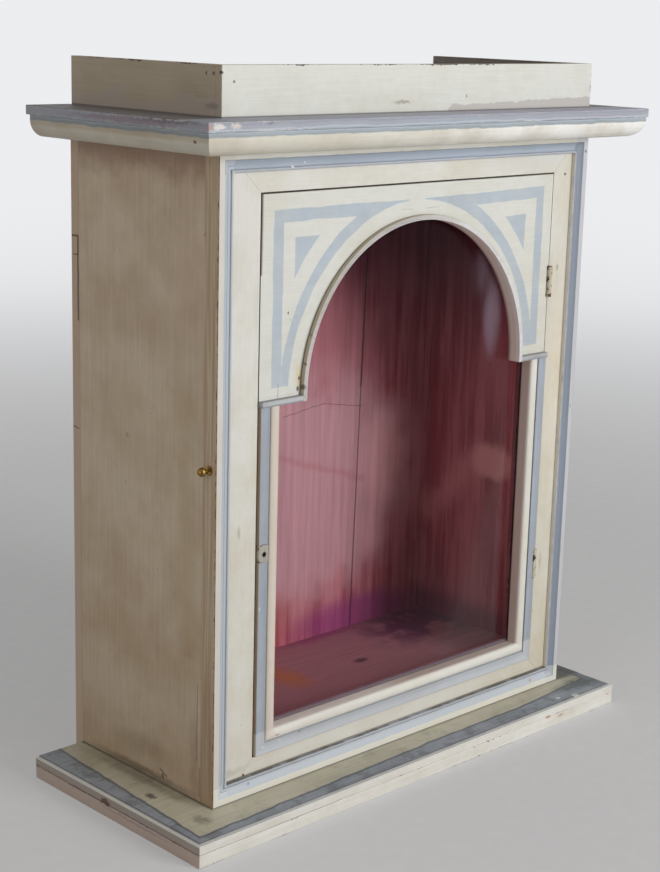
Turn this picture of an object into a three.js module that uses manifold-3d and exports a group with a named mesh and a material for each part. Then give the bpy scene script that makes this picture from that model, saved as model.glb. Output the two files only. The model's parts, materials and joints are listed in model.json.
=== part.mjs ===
// A painted wooden niche shrine: a shallow glazed case on a stepped plinth, with an arched door,
// a moulded cornice and a low gallery on top. Millimetres, +Z up, the front faces -Y.
//
// Inside the case group X runs from the left side face (0) to the right, Y from the front of the
// frame moulding (0) to the back, and Z from the underside of the plinth (0) upwards.

import * as THREE from "three";
import { mergeVertices } from "three/addons/utils/BufferGeometryUtils.js";
import Module from "manifold-3d";

const wasm = await Module();
wasm.setup();

// Case
const caseWidth = 466;
const bodyHeight = 560;
const sidePanelDepth = 171.5;
const sidePanelThickness = 16;
const backPlankThickness = 11;
const backPlankFootGap = 2;
const backPlankShrinkage = 0.5;
const leftPlankWidth = 180;
const middlePlankTopWidth = 181.5;
const middlePlankFootWidth = 167.5;
const floorThickness = 18;
const floorAboveFrame = 2.5;
const ceilingThickness = 14;

// Plinth
const lowerPlinthThickness = 12;
const upperPlinthThickness = 9;
const plinthOverhangLeft = 53;
const plinthOverhangRight = 36;
const plinthOverhangFront = 46;
const plinthLipWidth = 3.5;
const plinthLipDrop = 1;

// Face frame
const frameThickness = 12;
const leftStileWidth = 49;
const rightStileWidth = 42.5;
const bottomRailHeight = 31.5;
const topRailDrop = 34;

// Moulding round the face frame
const frameMouldingWidth = 16.5;
const frameMouldingHeight = 5.5;
const frameMouldingFlat = 6.25;
const frameCoveWidth = 7.75;
const frameCoveDepth = 2.25;
const frameBeadWidth = 2.5;

// Cornice
const corniceProjection = 41.5;
const corniceBoardThickness = 8;
const corniceBoardLip = 1.5;
const corniceFillet = 4;
const corniceOvoloRadius = 15;
const corniceBackReach = 4;

// Gallery
const galleryHeight = 41;
const galleryThickness = 8;
const gallerySetIn = 1.5;
const galleryBackSetIn = 4;
const galleryHousingDepth = 1;

// Door
const doorGapLatch = 1.25;
const doorGapHinge = 0.75;
const doorGapTop = 1.5;
const doorGapBottom = 1;
const doorFaceThickness = 9.5;
const doorBackThickness = 7;
const doorMemberWidth = 21.5;
const doorBackMemberWidth = 15;
const doorShutterClearance = 1;
const doorFloorClearance = 2;

// Spandrel board with its arch
const spandrelHeight = 177.75;
const archRadius = 139.5;
const archOffset = 4.125;
const archStilt = 6.25;
const edgeStripWidth = 4.5;
const edgeStripHeight = 5;
const ledgeHeight = 5.25;
const archFacets = 56;

// Moulding on the door
const doorCoveEdgeHeight = 3;
const doorMouldingArris = 1;
const doorCoveWidth = 9.5;
const doorCoveDepth = 1.25;
const doorQuirkWidth = 1.25;
const doorQuirkFloor = 1;
const doorBeadHeight = 4;
const doorBeadInnerHeight = 1.5;

// Glass
const glassThickness = 2.5;
const glassEdgeClearance = 0.5;
const glazingStopWidth = 6;

// Hinges
const hingeHeight = 30;
const hingeLeafDepth = 11;
const hingeLeafThickness = 1;
const hingeBarrelRadius = 2.5;
const hingePinRadius = 0.9;
const hingeBoreClearance = 0.25;
const hingeAxisProud = 1.5;
const hingeKnuckleGap = 0.3;
const hingeSweepClearance = 0.4;
const mortiseClearance = 0.25;
const upperHingeDrop = 103.25;
const lowerHingeRise = 102;

// Lock pin, its collar and the patch round the old keyhole
const lockPinRadius = 1.2;
const lockPinDrop = 46.75;
const lockPinSetBack = 3.5;
const lockPinTipShort = 0.25;
const lockPinBoreClearance = 0.2;
const lockPinKnobRadius = 4;
const lockPinKnobStandOff = 8.25;
const lockPinKnobNeckRadius = 2;
const lockPinSocketRadius = 2.2;
const lockPinSocketDepth = 6;
const lockCollarRadius = 4;
const lockCollarThickness = 1;
const patchWidth = 11;
const patchHeight = 15;
const patchDrop = 135.75;
const patchHoleRadius = 2;
const patchHoleDepth = 9;
const patchHoleInset = 6.25;
const patchHoleRise = 6.75;
const patchFitClearance = 0.25;

const roundFacets = 28;

// Every plane lies on a 1/64 mm grid, so that boards which touch share exactly the same face.
const gridPerMillimetre = 64;

function onGrid(value) {
  return Math.round(value * gridPerMillimetre) / gridPerMillimetre;
}

// Finishes
function finish(color, roughness, metalness = 0, more = {}) {
  return new THREE.MeshStandardMaterial({ color, roughness, metalness, flatShading: true, ...more });
}

const creamPaint = finish(0xd6d4c4, 0.55);
const agedPaint = finish(0xb4a98c, 0.65);
const bluePaint = finish(0x9aa5b0, 0.6);
const bareWood = finish(0x8a6a4c, 0.8);
const redStainedWood = finish(0x6e3234, 0.7);
const floorWood = finish(0x7a5a52, 0.75);
const windowGlass = finish(0xdfe6e4, 0.05, 0, { transparent: true, opacity: 0.3 });
const brass = finish(0xa8843c, 0.35, 0.9);
const agedIron = finish(0x5a4636, 0.6, 0.8);

// Heights and depths that several pieces share
const plinthTop = lowerPlinthThickness + upperPlinthThickness;
const soffit = plinthTop + bodyHeight;
const bodyTop = soffit + corniceOvoloRadius + corniceFillet;
const corniceTop = bodyTop + corniceBoardThickness;
const galleryFoot = corniceTop - galleryHousingDepth;
const frameFace = frameMouldingHeight;
const frameBack = frameFace + frameThickness;
const panelBack = frameBack + sidePanelDepth;
const plankBack = panelBack + backPlankThickness;
const innerLeft = sidePanelThickness;
const innerRight = caseWidth - sidePanelThickness;

const openingLeft = leftStileWidth;
const openingRight = caseWidth - rightStileWidth;
const openingFoot = plinthTop + bottomRailHeight;
const openingTop = soffit - topRailDrop;

const doorLeft = openingLeft + doorGapLatch;
const doorRight = openingRight - doorGapHinge;
const doorFoot = openingFoot + doorGapBottom;
const doorTop = openingTop - doorGapTop;
const doorFace = frameFace;
const glassFront = doorFace + doorFaceThickness;
const doorBack = glassFront + doorBackThickness;
const spandrelFoot = doorTop - spandrelHeight;
const archCentreX = (doorLeft + doorRight) / 2 + archOffset;
const archSpring = spandrelFoot + archStilt;

const hingeAxisX = (doorRight + openingRight) / 2;
const hingeAxisY = frameFace - hingeAxisProud;

const lockPinY = frameFace + lockPinSetBack;
const lockPinZ = spandrelFoot - lockPinDrop;
const patchZ = spandrelFoot - patchDrop;

// Solids: boolean cuts and joins
function toSolid(geometry) {
  const bare = new THREE.BufferGeometry();
  bare.setAttribute("position", geometry.getAttribute("position"));
  bare.setIndex(geometry.getIndex());
  const merged = mergeVertices(bare, 1e-4);
  return new wasm.Manifold(
    new wasm.Mesh({
      numProp: 3,
      vertProperties: new Float32Array(merged.getAttribute("position").array),
      triVerts: new Uint32Array(merged.getIndex().array),
    }),
  );
}

function toGeometry(solid) {
  const mesh = solid.getMesh();
  const geometry = new THREE.BufferGeometry();
  geometry.setAttribute("position", new THREE.BufferAttribute(mesh.vertProperties, 3));
  geometry.setIndex(new THREE.BufferAttribute(mesh.triVerts, 1));
  geometry.computeVertexNormals();
  return geometry;
}

function cut(geometry, ...tools) {
  const body = tools.reduce((solid, tool) => solid.subtract(toSolid(tool)), toSolid(geometry));
  return toGeometry(body);
}

function join(geometry, ...others) {
  const body = others.reduce((solid, other) => solid.add(toSolid(other)), toSolid(geometry));
  return toGeometry(body);
}

// A block between two corners
function block(x, y, z) {
  const [x0, x1, y0, y1, z0, z1] = [...x, ...y, ...z].map(onGrid);
  const geometry = new THREE.BoxGeometry(x1 - x0, y1 - y0, z1 - z0);
  return geometry.translate((x0 + x1) / 2, (y0 + y1) / 2, (z0 + z1) / 2);
}

// A round bar along an axis, from one end to the other
function roundBar(axis, radius, from, to, centre) {
  const geometry = new THREE.CylinderGeometry(radius, radius, to - from, roundFacets);
  geometry.translate(0, (from + to) / 2, 0);
  if (axis === "x") geometry.rotateZ(-Math.PI / 2);
  if (axis === "z") geometry.rotateX(Math.PI / 2);
  return geometry.translate(...centre);
}

function outline(points) {
  return new THREE.Shape(points.map(([a, b]) => new THREE.Vector2(onGrid(a), onGrid(b))));
}

// A board whose outline is drawn on the front, in X and Z, and whose thickness runs from y0 to y1
function frontBoard(shape, y0, y1, curveSegments = 1) {
  const depth = onGrid(y1) - onGrid(y0);
  const geometry = new THREE.ExtrudeGeometry(shape, { depth, bevelEnabled: false, curveSegments });
  return geometry.rotateX(Math.PI / 2).translate(0, onGrid(y1), 0);
}

// A post whose section is drawn in X and Y, standing from z0 to z1
function post(points, z0, z1) {
  const depth = onGrid(z1) - onGrid(z0);
  const geometry = new THREE.ExtrudeGeometry(outline(points), { depth, bevelEnabled: false });
  return geometry.translate(0, 0, onGrid(z0));
}

// A bar whose section is drawn in Y and Z, lying from x0 to x1
function lyingBar(points, x0, x1) {
  const depth = onGrid(x1) - onGrid(x0);
  const geometry = new THREE.ExtrudeGeometry(outline(points), { depth, bevelEnabled: false });
  return geometry.rotateZ(Math.PI / 2).rotateY(Math.PI / 2).translate(onGrid(x0), 0, 0);
}

// A length of moulding along +X. Its section is drawn across (+Y) and outwards (+Z), and each end
// is cut back by its slope times the distance across, which makes a mitre at slope 1.
function mouldingRun(section, length, startSlope, endSlope) {
  const points = section.map((p) => new THREE.Vector2(onGrid(p.x), onGrid(p.y)));
  if (THREE.ShapeUtils.isClockWise(points)) points.reverse();
  const count = points.length;
  const positions = [];
  points.forEach((p) => positions.push(startSlope * p.x, p.x, p.y));
  points.forEach((p) => positions.push(onGrid(length) - endSlope * p.x, p.x, p.y));
  const faces = [];
  for (let i = 0; i < count; i += 1) {
    const next = (i + 1) % count;
    faces.push(i, count + i, next);
    faces.push(next, count + i, count + next);
  }
  THREE.ShapeUtils.triangulateShape(points, []).forEach(([a, b, c]) => {
    faces.push(a, b, c);
    faces.push(count + a, count + c, count + b);
  });
  faces.reverse();
  const geometry = new THREE.BufferGeometry();
  geometry.setAttribute("position", new THREE.Float32BufferAttribute(positions, 3));
  geometry.setIndex(faces);
  geometry.computeVertexNormals();
  return geometry;
}

// A hollow between two points, as an arc that sinks by depth
function hollow(path, toX, toY, depth, steps) {
  const fromX = path.currentPoint.x;
  const fromY = path.currentPoint.y;
  for (let i = 1; i <= steps; i += 1) {
    const t = i / steps;
    const sink = depth * 4 * t * (1 - t);
    path.lineTo(fromX + (toX - fromX) * t, fromY + (toY - fromY) * t - sink);
  }
}

// The part is put together from nested groups; the origin is under the middle of the whole
const shrine = new THREE.Group();
shrine.name = "niche_shrine";
const frontReach = Math.max(plinthOverhangFront, corniceProjection - frameFace + corniceBoardLip);
const leftReach = Math.max(plinthOverhangLeft, corniceProjection + corniceBoardLip);
const rightReach = Math.max(plinthOverhangRight, corniceProjection + corniceBoardLip);
const backReach = plankBack + corniceBackReach;
const caseGroup = new THREE.Group();
caseGroup.position.set(
  onGrid((leftReach - caseWidth - rightReach) / 2),
  onGrid((frontReach - backReach) / 2),
  0,
);
const doorGroup = new THREE.Group();
const lockPinGroup = new THREE.Group();
caseGroup.add(doorGroup, lockPinGroup);
shrine.add(caseGroup);

function place(group, name, geometry, material) {
  const mesh = new THREE.Mesh(geometry, material);
  mesh.name = name;
  group.add(mesh);
  return mesh;
}

// Plinth: two boards, the upper one with a narrow lip let down along its three free edges
function addPlinth() {
  const x = [-plinthOverhangLeft, caseWidth + plinthOverhangRight];
  const y = [-plinthOverhangFront, panelBack];
  place(caseGroup, "plinth_lower_board", block(x, y, [0, lowerPlinthThickness]), creamPaint);
  const lipTop = plinthTop - plinthLipDrop;
  const base = block(x, y, [lowerPlinthThickness, lipTop]);
  const field = block(
    [x[0] + plinthLipWidth, x[1] - plinthLipWidth],
    [y[0] + plinthLipWidth, y[1]],
    [lowerPlinthThickness, plinthTop],
  );
  place(caseGroup, "plinth_upper_board", join(base, field), agedPaint);
}

// Floor, sides, ceiling and back of the niche
function addCarcass() {
  const floorTop = openingFoot + floorAboveFrame;
  const rebateBack = doorBack + doorShutterClearance;
  const rebateFloor = Math.min(floorTop, doorFoot - doorFloorClearance);
  const floorSection = [
    [frameBack, floorTop - floorThickness],
    [panelBack, floorTop - floorThickness],
    [panelBack, floorTop],
    [rebateBack, floorTop],
    [rebateBack, rebateFloor],
    [frameBack, rebateFloor],
  ];
  place(caseGroup, "floor_board", lyingBar(floorSection, innerLeft, innerRight), floorWood);

  const sideY = [frameBack, panelBack];
  const sideZ = [plinthTop, bodyTop];
  place(caseGroup, "left_side_panel", block([0, innerLeft], sideY, sideZ), agedPaint);
  place(caseGroup, "right_side_panel", block([innerRight, caseWidth], sideY, sideZ), agedPaint);

  const ceilingZ = [bodyTop - ceilingThickness, bodyTop];
  place(caseGroup, "ceiling_board", block([innerLeft, innerRight], sideY, ceilingZ), redStainedWood);

  const half = backPlankShrinkage / 2;
  const joints = [
    { foot: leftPlankWidth, top: leftPlankWidth },
    { foot: leftPlankWidth + middlePlankFootWidth, top: leftPlankWidth + middlePlankTopWidth },
  ];
  const plankFoot = backPlankFootGap;
  const leftEdges = [{ foot: 0, top: 0 }, ...joints.map((j) => ({ foot: j.foot + half, top: j.top + half }))];
  const rightEdges = [
    ...joints.map((j) => ({ foot: j.foot - half, top: j.top - half })),
    { foot: caseWidth, top: caseWidth },
  ];
  ["left", "middle", "right"].forEach((side, i) => {
    const shape = outline([
      [leftEdges[i].foot, plankFoot],
      [rightEdges[i].foot, plankFoot],
      [rightEdges[i].top, bodyTop],
      [leftEdges[i].top, bodyTop],
    ]);
    place(caseGroup, `back_plank_${side}`, frontBoard(shape, panelBack, plankBack), bareWood);
  });
}

// A hinge: where its leaves and knuckles lie for the height of its middle
function hingePlaces(middle) {
  const foot = middle - hingeHeight / 2;
  const knuckle = hingeHeight / 3;
  const trim = hingeKnuckleGap / 2;
  return {
    foot,
    top: foot + hingeHeight,
    caseKnuckles: [
      [foot, foot + knuckle - trim],
      [foot + 2 * knuckle + trim, foot + hingeHeight],
    ],
    doorKnuckles: [[foot + knuckle + trim, foot + 2 * knuckle - trim]],
  };
}

const hinges = {
  upper: hingePlaces(doorTop - upperHingeDrop),
  lower: hingePlaces(doorFoot + lowerHingeRise),
};
const hingeLeafEnd = frameFace + hingeLeafDepth;
const sweepRadius = hingeBarrelRadius + hingeSweepClearance;

function hingeBar(radius, z0, z1) {
  return roundBar("z", radius, z0, z1, [hingeAxisX, hingeAxisY, 0]);
}

// What a hinge takes away from the wood round it: the mortise for a leaf and room for the barrel
function hingeRecess(hinge, leafX) {
  const height = [hinge.foot - mortiseClearance, hinge.top + mortiseClearance];
  const mortise = block(leafX, [frameFace - hingeBarrelRadius, hingeLeafEnd + mortiseClearance], height);
  return [mortise, hingeBar(sweepRadius, ...height)];
}

const caseLeafX = [openingRight, openingRight + hingeLeafThickness];
const doorLeafX = [doorRight - hingeLeafThickness, doorRight];
const caseMortiseX = [openingRight - doorGapHinge / 2, caseLeafX[1]];
const doorMortiseX = [doorLeafX[0], doorRight + doorGapHinge / 2];

function hingeLeaf(hinge, leafX, ownKnuckles, otherKnuckles) {
  const plate = block(leafX, [hingeAxisY, hingeLeafEnd], [hinge.foot, hinge.top]);
  const notches = otherKnuckles.map(([z0, z1]) => {
    return hingeBar(sweepRadius, z0 - hingeKnuckleGap, z1 + hingeKnuckleGap);
  });
  const barrels = ownKnuckles.map(([z0, z1]) => hingeBar(hingeBarrelRadius, z0, z1));
  const boreRadius = hingePinRadius + hingeBoreClearance;
  const bore = hingeBar(boreRadius, hinge.foot - 1, hinge.top + 1);
  return cut(join(cut(plate, ...notches), ...barrels), bore);
}

function addHinges() {
  Object.entries(hinges).forEach(([level, hinge]) => {
    const caseLeaf = hingeLeaf(hinge, caseLeafX, hinge.caseKnuckles, hinge.doorKnuckles);
    const doorLeaf = hingeLeaf(hinge, doorLeafX, hinge.doorKnuckles, hinge.caseKnuckles);
    place(caseGroup, `${level}_hinge_case_leaf`, caseLeaf, agedIron);
    place(caseGroup, `${level}_hinge_pin`, hingeBar(hingePinRadius, hinge.foot, hinge.top), agedIron);
    place(doorGroup, `${level}_hinge_door_leaf`, doorLeaf, agedIron);
  });
}

// Face frame: four members that meet in 45 degree mitres at the corners of the opening
function addFaceFrame() {
  const leftMitreTop = openingTop + openingLeft;
  const rightMitreTop = openingTop + (caseWidth - openingRight);
  const leftMitreFoot = openingLeft - bottomRailHeight;
  const rightMitreFoot = openingRight + bottomRailHeight;
  const members = {
    left_stile: [
      [0, plinthTop],
      [leftMitreFoot, plinthTop],
      [openingLeft, openingFoot],
      [openingLeft, openingTop],
      [0, leftMitreTop],
    ],
    right_stile: [
      [rightMitreFoot, plinthTop],
      [caseWidth, plinthTop],
      [caseWidth, rightMitreTop],
      [openingRight, openingTop],
      [openingRight, openingFoot],
    ],
    top_rail: [
      [openingLeft, openingTop],
      [openingRight, openingTop],
      [caseWidth, rightMitreTop],
      [caseWidth, bodyTop],
      [0, bodyTop],
      [0, leftMitreTop],
    ],
    bottom_rail: [
      [leftMitreFoot, plinthTop],
      [rightMitreFoot, plinthTop],
      [openingRight, openingFoot],
      [openingLeft, openingFoot],
    ],
  };
  const boreRadius = lockPinRadius + lockPinBoreClearance;
  const cuts = {
    left_stile: [roundBar("x", boreRadius, -1, openingLeft + 1, [0, lockPinY, lockPinZ])],
    right_stile: Object.values(hinges).flatMap((hinge) => hingeRecess(hinge, caseMortiseX)),
  };
  Object.entries(members).forEach(([name, points]) => {
    const board = frontBoard(outline(points), frameFace, frameBack);
    const geometry = cuts[name] ? cut(board, ...cuts[name]) : board;
    place(caseGroup, `face_frame_${name}`, geometry, creamPaint);
  });
}

// Four mitred lengths round a rectangle on the front; the section grows inwards and forwards
function addMitredFrame(group, names, section, { left, right, foot, top, face }, material) {
  const front = new THREE.Group();
  front.rotation.x = Math.PI / 2;
  front.position.y = onGrid(face);
  group.add(front);
  const width = onGrid(right) - onGrid(left);
  const height = onGrid(top) - onGrid(foot);
  const runs = [
    { name: names.bottom, x: left, z: foot, length: width, turn: 0 },
    { name: names.right, x: right, z: foot, length: height, turn: 1 },
    { name: names.top, x: right, z: top, length: width, turn: 2 },
    { name: names.left, x: left, z: top, length: height, turn: 3 },
  ];
  runs.forEach((run) => {
    const mesh = place(front, run.name, mouldingRun(section, run.length, 1, 1), material);
    mesh.position.set(onGrid(run.x), onGrid(run.z), 0);
    mesh.rotation.z = (run.turn * Math.PI) / 2;
  });
}

// Section of the frame moulding: an outer flat, a cove and a small bead at the inner edge
function frameMouldingSection() {
  const path = new THREE.Path();
  const beadStart = frameMouldingWidth - frameBeadWidth;
  const coveEnd = Math.min(frameMouldingFlat + frameCoveWidth, beadStart);
  const beadRadius = frameBeadWidth / 2;
  const beadSpring = frameMouldingHeight - frameCoveDepth / 2 - beadRadius;
  path.moveTo(0, 0);
  path.lineTo(0, frameMouldingHeight);
  path.lineTo(frameMouldingFlat, frameMouldingHeight);
  hollow(path, coveEnd, beadSpring, frameCoveDepth / 2, 6);
  path.lineTo(beadStart, beadSpring);
  path.absarc(beadStart + beadRadius, beadSpring, beadRadius, Math.PI, 0, true);
  path.lineTo(frameMouldingWidth, 0);
  return path.getPoints(6);
}

function addFrameMoulding() {
  const names = {
    left: "frame_moulding_left",
    right: "frame_moulding_right",
    top: "frame_moulding_top",
    bottom: "frame_moulding_bottom",
  };
  const section = frameMouldingSection();
  const edges = { left: 0, right: caseWidth, foot: plinthTop, top: soffit, face: frameFace };
  addMitredFrame(caseGroup, names, section, edges, bluePaint);
}

// The shallow housings across the cornice board in which the gallery boards stand
function galleryHousings(backEdge) {
  const left = gallerySetIn;
  const right = caseWidth - gallerySetIn;
  const z = [galleryFoot, corniceTop + 1];
  return [
    block([left, right], [0, galleryThickness], z),
    block([left, left + galleryThickness], [galleryThickness - 1, backEdge + 1], z),
    block([right - galleryThickness, right], [galleryThickness - 1, backEdge + 1], z),
  ];
}

// Cornice: a board on top of the case, and a moulding of one section under it on three sides
function corniceSection() {
  const path = new THREE.Path();
  const height = corniceOvoloRadius + corniceFillet;
  path.moveTo(0, height);
  path.lineTo(0, corniceOvoloRadius);
  path.absarc(corniceOvoloRadius, corniceOvoloRadius, corniceOvoloRadius, Math.PI, 1.5 * Math.PI, false);
  path.lineTo(corniceProjection, 0);
  path.lineTo(corniceProjection, height);
  return path.getPoints(8);
}

function addCornice() {
  const reach = corniceProjection + corniceBoardLip;
  const front = frameFace - corniceProjection;
  const boardX = [-reach, caseWidth + reach];
  const boardY = [front - corniceBoardLip, plankBack + corniceBackReach];
  const board = block(boardX, boardY, [bodyTop, corniceTop]);
  place(caseGroup, "cornice_board", cut(board, ...galleryHousings(boardY[1])), agedPaint);
  const section = corniceSection();
  const sideLength = plankBack - front;
  const frontLength = caseWidth + 2 * corniceProjection;
  const left = -corniceProjection;
  const right = caseWidth + corniceProjection;
  const runs = [
    { side: "left", x: left, y: plankBack, length: sideLength, slopes: [0, 1], turn: 3 },
    { side: "front", x: left, y: front, length: frontLength, slopes: [1, 1], turn: 0 },
    { side: "right", x: right, y: front, length: sideLength, slopes: [1, 0], turn: 1 },
  ];
  runs.forEach((run) => {
    const geometry = mouldingRun(section, run.length, ...run.slopes);
    const mesh = place(caseGroup, `cornice_moulding_${run.side}`, geometry, creamPaint);
    mesh.position.set(onGrid(run.x), onGrid(run.y), onGrid(soffit));
    mesh.rotation.z = (run.turn * Math.PI) / 2;
  });
}

// Gallery: a low three-sided box on the cornice, its front board lapping the ends of the sides
function addGallery() {
  const z = [galleryFoot, corniceTop + galleryHeight];
  const left = gallerySetIn;
  const right = caseWidth - gallerySetIn;
  const backEnd = plankBack + corniceBackReach - galleryBackSetIn;
  const sideY = [galleryThickness, backEnd];
  place(caseGroup, "gallery_front_board", block([left, right], [0, galleryThickness], z), creamPaint);
  place(caseGroup, "gallery_left_board", block([left, left + galleryThickness], sideY, z), agedPaint);
  place(caseGroup, "gallery_right_board", block([right - galleryThickness, right], sideY, z), agedPaint);
}

// Door frame: stiles and bottom rail stepped at the back for the glass, and a plain top rail
function addDoorFrame() {
  const lapZ = [spandrelFoot, doorTop + 1];
  const lapTool = block([doorLeft - 1, doorRight + 1], [doorFace - 1, glassFront], lapZ);
  const stileSection = (outer, inwards) => [
    [outer, doorFace],
    [outer + inwards * doorMemberWidth, doorFace],
    [outer + inwards * doorMemberWidth, glassFront],
    [outer + inwards * doorBackMemberWidth, glassFront],
    [outer + inwards * doorBackMemberWidth, doorBack],
    [outer, doorBack],
  ];
  const socketEnd = doorLeft + lockPinSocketDepth;
  const socket = roundBar("x", lockPinSocketRadius, doorLeft - 1, socketEnd, [0, lockPinY, lockPinZ]);
  const leftBar = post(stileSection(doorLeft, 1), doorFoot, doorTop);
  place(doorGroup, "door_left_stile", cut(leftBar, lapTool, socket, patchHole()), creamPaint);
  const recesses = Object.values(hinges).flatMap((hinge) => hingeRecess(hinge, doorMortiseX));
  const rightBar = post(stileSection(doorRight, -1), doorFoot, doorTop);
  place(doorGroup, "door_right_stile", cut(rightBar, lapTool, ...recesses), creamPaint);

  const backLeft = doorLeft + doorBackMemberWidth;
  const backRight = doorRight - doorBackMemberWidth;
  const railSection = [
    [doorFace, doorFoot],
    [doorBack, doorFoot],
    [doorBack, doorFoot + doorBackMemberWidth],
    [glassFront, doorFoot + doorBackMemberWidth],
    [glassFront, doorFoot + doorMemberWidth],
    [doorFace, doorFoot + doorMemberWidth],
  ];
  const shoulderY = [doorFace - 1, glassFront];
  const shoulderZ = [doorFoot - 1, doorFoot + doorMemberWidth + 1];
  const leftShoulder = block([backLeft - 1, doorLeft + doorMemberWidth], shoulderY, shoulderZ);
  const rightShoulder = block([doorRight - doorMemberWidth, backRight + 1], shoulderY, shoulderZ);
  const bottomRail = cut(lyingBar(railSection, backLeft, backRight), leftShoulder, rightShoulder);
  place(doorGroup, "door_bottom_rail", bottomRail, creamPaint);

  const topRailZ = [doorTop - doorBackMemberWidth, doorTop];
  const topRail = block([backLeft, backRight], [glassFront, doorBack], topRailZ);
  place(doorGroup, "door_top_rail", topRail, creamPaint);
}

// The spandrel board, with a stilted round arch cut out of its lower edge
function addSpandrel() {
  const archLeft = archCentreX - archRadius;
  const archRight = archCentreX + archRadius;
  const shape = new THREE.Shape();
  shape.moveTo(onGrid(doorLeft), onGrid(spandrelFoot));
  shape.lineTo(archLeft, onGrid(spandrelFoot));
  shape.lineTo(archLeft, archSpring);
  shape.absarc(archCentreX, archSpring, archRadius, Math.PI, 0, true);
  shape.lineTo(archRight, onGrid(spandrelFoot));
  shape.lineTo(onGrid(doorRight), onGrid(spandrelFoot));
  shape.lineTo(onGrid(doorRight), onGrid(doorTop));
  shape.lineTo(onGrid(doorLeft), onGrid(doorTop));
  const board = frontBoard(shape, doorFace, glassFront, archFacets);
  const panel = cut(board, ...hingeRecess(hinges.upper, doorMortiseX));
  place(doorGroup, "spandrel_panel", panel, creamPaint);

  // A thin strip stands on the board along the arch, and a short ledge at each foot meets it in a mitre
  const stripFront = doorFace - edgeStripHeight;
  const ledgeTop = spandrelFoot + ledgeHeight;
  const outerRadius = archRadius + edgeStripWidth;
  const strip = new THREE.Shape();
  strip.moveTo(archLeft, spandrelFoot);
  strip.lineTo(archLeft, archSpring);
  strip.absarc(archCentreX, archSpring, archRadius, Math.PI, 0, true);
  strip.lineTo(archRight, spandrelFoot);
  strip.lineTo(archRight + edgeStripWidth, ledgeTop);
  strip.lineTo(archCentreX + outerRadius, archSpring);
  strip.absarc(archCentreX, archSpring, outerRadius, 0, Math.PI, false);
  strip.lineTo(archLeft - edgeStripWidth, ledgeTop);
  place(doorGroup, "arch_edge_strip", frontBoard(strip, stripFront, doorFace, archFacets), bluePaint);

  const leftLedge = outline([
    [doorLeft, spandrelFoot],
    [archLeft, spandrelFoot],
    [archLeft - edgeStripWidth, ledgeTop],
    [doorLeft, ledgeTop],
  ]);
  const rightLedge = outline([
    [archRight, spandrelFoot],
    [doorRight, spandrelFoot],
    [doorRight, ledgeTop],
    [archRight + edgeStripWidth, ledgeTop],
  ]);
  place(doorGroup, "left_ledge_strip", frontBoard(leftLedge, stripFront, doorFace), bluePaint);
  place(doorGroup, "right_ledge_strip", frontBoard(rightLedge, stripFront, doorFace), bluePaint);
}

// Section of the door moulding: a cove on the outside, a quirk and a wide bead beside the glass
function doorMouldingSection() {
  const path = new THREE.Path();
  const coveEnd = doorMouldingArris + doorCoveWidth;
  const beadStart = coveEnd + doorQuirkWidth;
  const beadWidth = doorMemberWidth - beadStart;
  path.moveTo(0, 0);
  path.lineTo(0, doorCoveEdgeHeight);
  path.lineTo(doorMouldingArris, doorCoveEdgeHeight);
  hollow(path, coveEnd, doorCoveEdgeHeight, doorCoveDepth, 6);
  path.lineTo(coveEnd, doorQuirkFloor);
  path.lineTo(beadStart, doorQuirkFloor);
  const rise = doorBeadHeight - doorBeadInnerHeight;
  const beadCentre = beadStart + beadWidth / 2;
  path.lineTo(beadStart, doorBeadInnerHeight);
  path.absellipse(beadCentre, doorBeadInnerHeight, beadWidth / 2, rise, Math.PI, 0, true, 0);
  path.lineTo(doorMemberWidth, 0);
  return path.getPoints(6);
}

function patchHole() {
  const centre = [doorLeft + patchHoleInset, 0, patchZ + patchHoleRise];
  const front = doorFace - doorCoveEdgeHeight;
  return roundBar("y", patchHoleRadius, front - 1, front + patchHoleDepth, centre);
}

function addDoorMoulding() {
  const section = doorMouldingSection();
  const front = new THREE.Group();
  front.rotation.x = Math.PI / 2;
  front.position.y = onGrid(doorFace);
  doorGroup.add(front);
  const height = onGrid(spandrelFoot) - onGrid(doorFoot);
  const width = onGrid(doorRight) - onGrid(doorLeft);

  const bottom = place(front, "door_moulding_bottom", mouldingRun(section, width, 1, 1), bluePaint);
  bottom.position.set(onGrid(doorLeft), onGrid(doorFoot), 0);

  // The patch block is let into the left length, and the lower hinge into the right one
  const patchX = [doorLeft, doorLeft + patchWidth];
  const patchY = [doorFace - doorCoveEdgeHeight, doorFace];
  const patch = block(patchX, patchY, [patchZ, patchZ + patchHeight]);
  place(doorGroup, "lock_patch_block", cut(patch, patchHole()), agedPaint);
  const patchSeat = block(
    [doorLeft - 1, doorLeft + patchWidth + patchFitClearance],
    [doorFace - doorBeadHeight - 1, doorFace + 1],
    [patchZ - patchFitClearance, patchZ + patchHeight + patchFitClearance],
  );

  const rightRun = mouldingRun(section, height, 1, 0);
  rightRun.rotateZ(Math.PI / 2).rotateX(Math.PI / 2);
  rightRun.translate(onGrid(doorRight), onGrid(doorFace), onGrid(doorFoot));
  const right = cut(rightRun, ...hingeRecess(hinges.lower, doorMortiseX));
  place(doorGroup, "door_moulding_right", right, bluePaint);

  const leftRun = mouldingRun(section, height, 0, 1);
  leftRun.rotateZ(-Math.PI / 2).rotateX(Math.PI / 2);
  leftRun.translate(onGrid(doorLeft), onGrid(doorFace), onGrid(spandrelFoot));
  place(doorGroup, "door_moulding_left", cut(leftRun, patchSeat), bluePaint);
}

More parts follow.
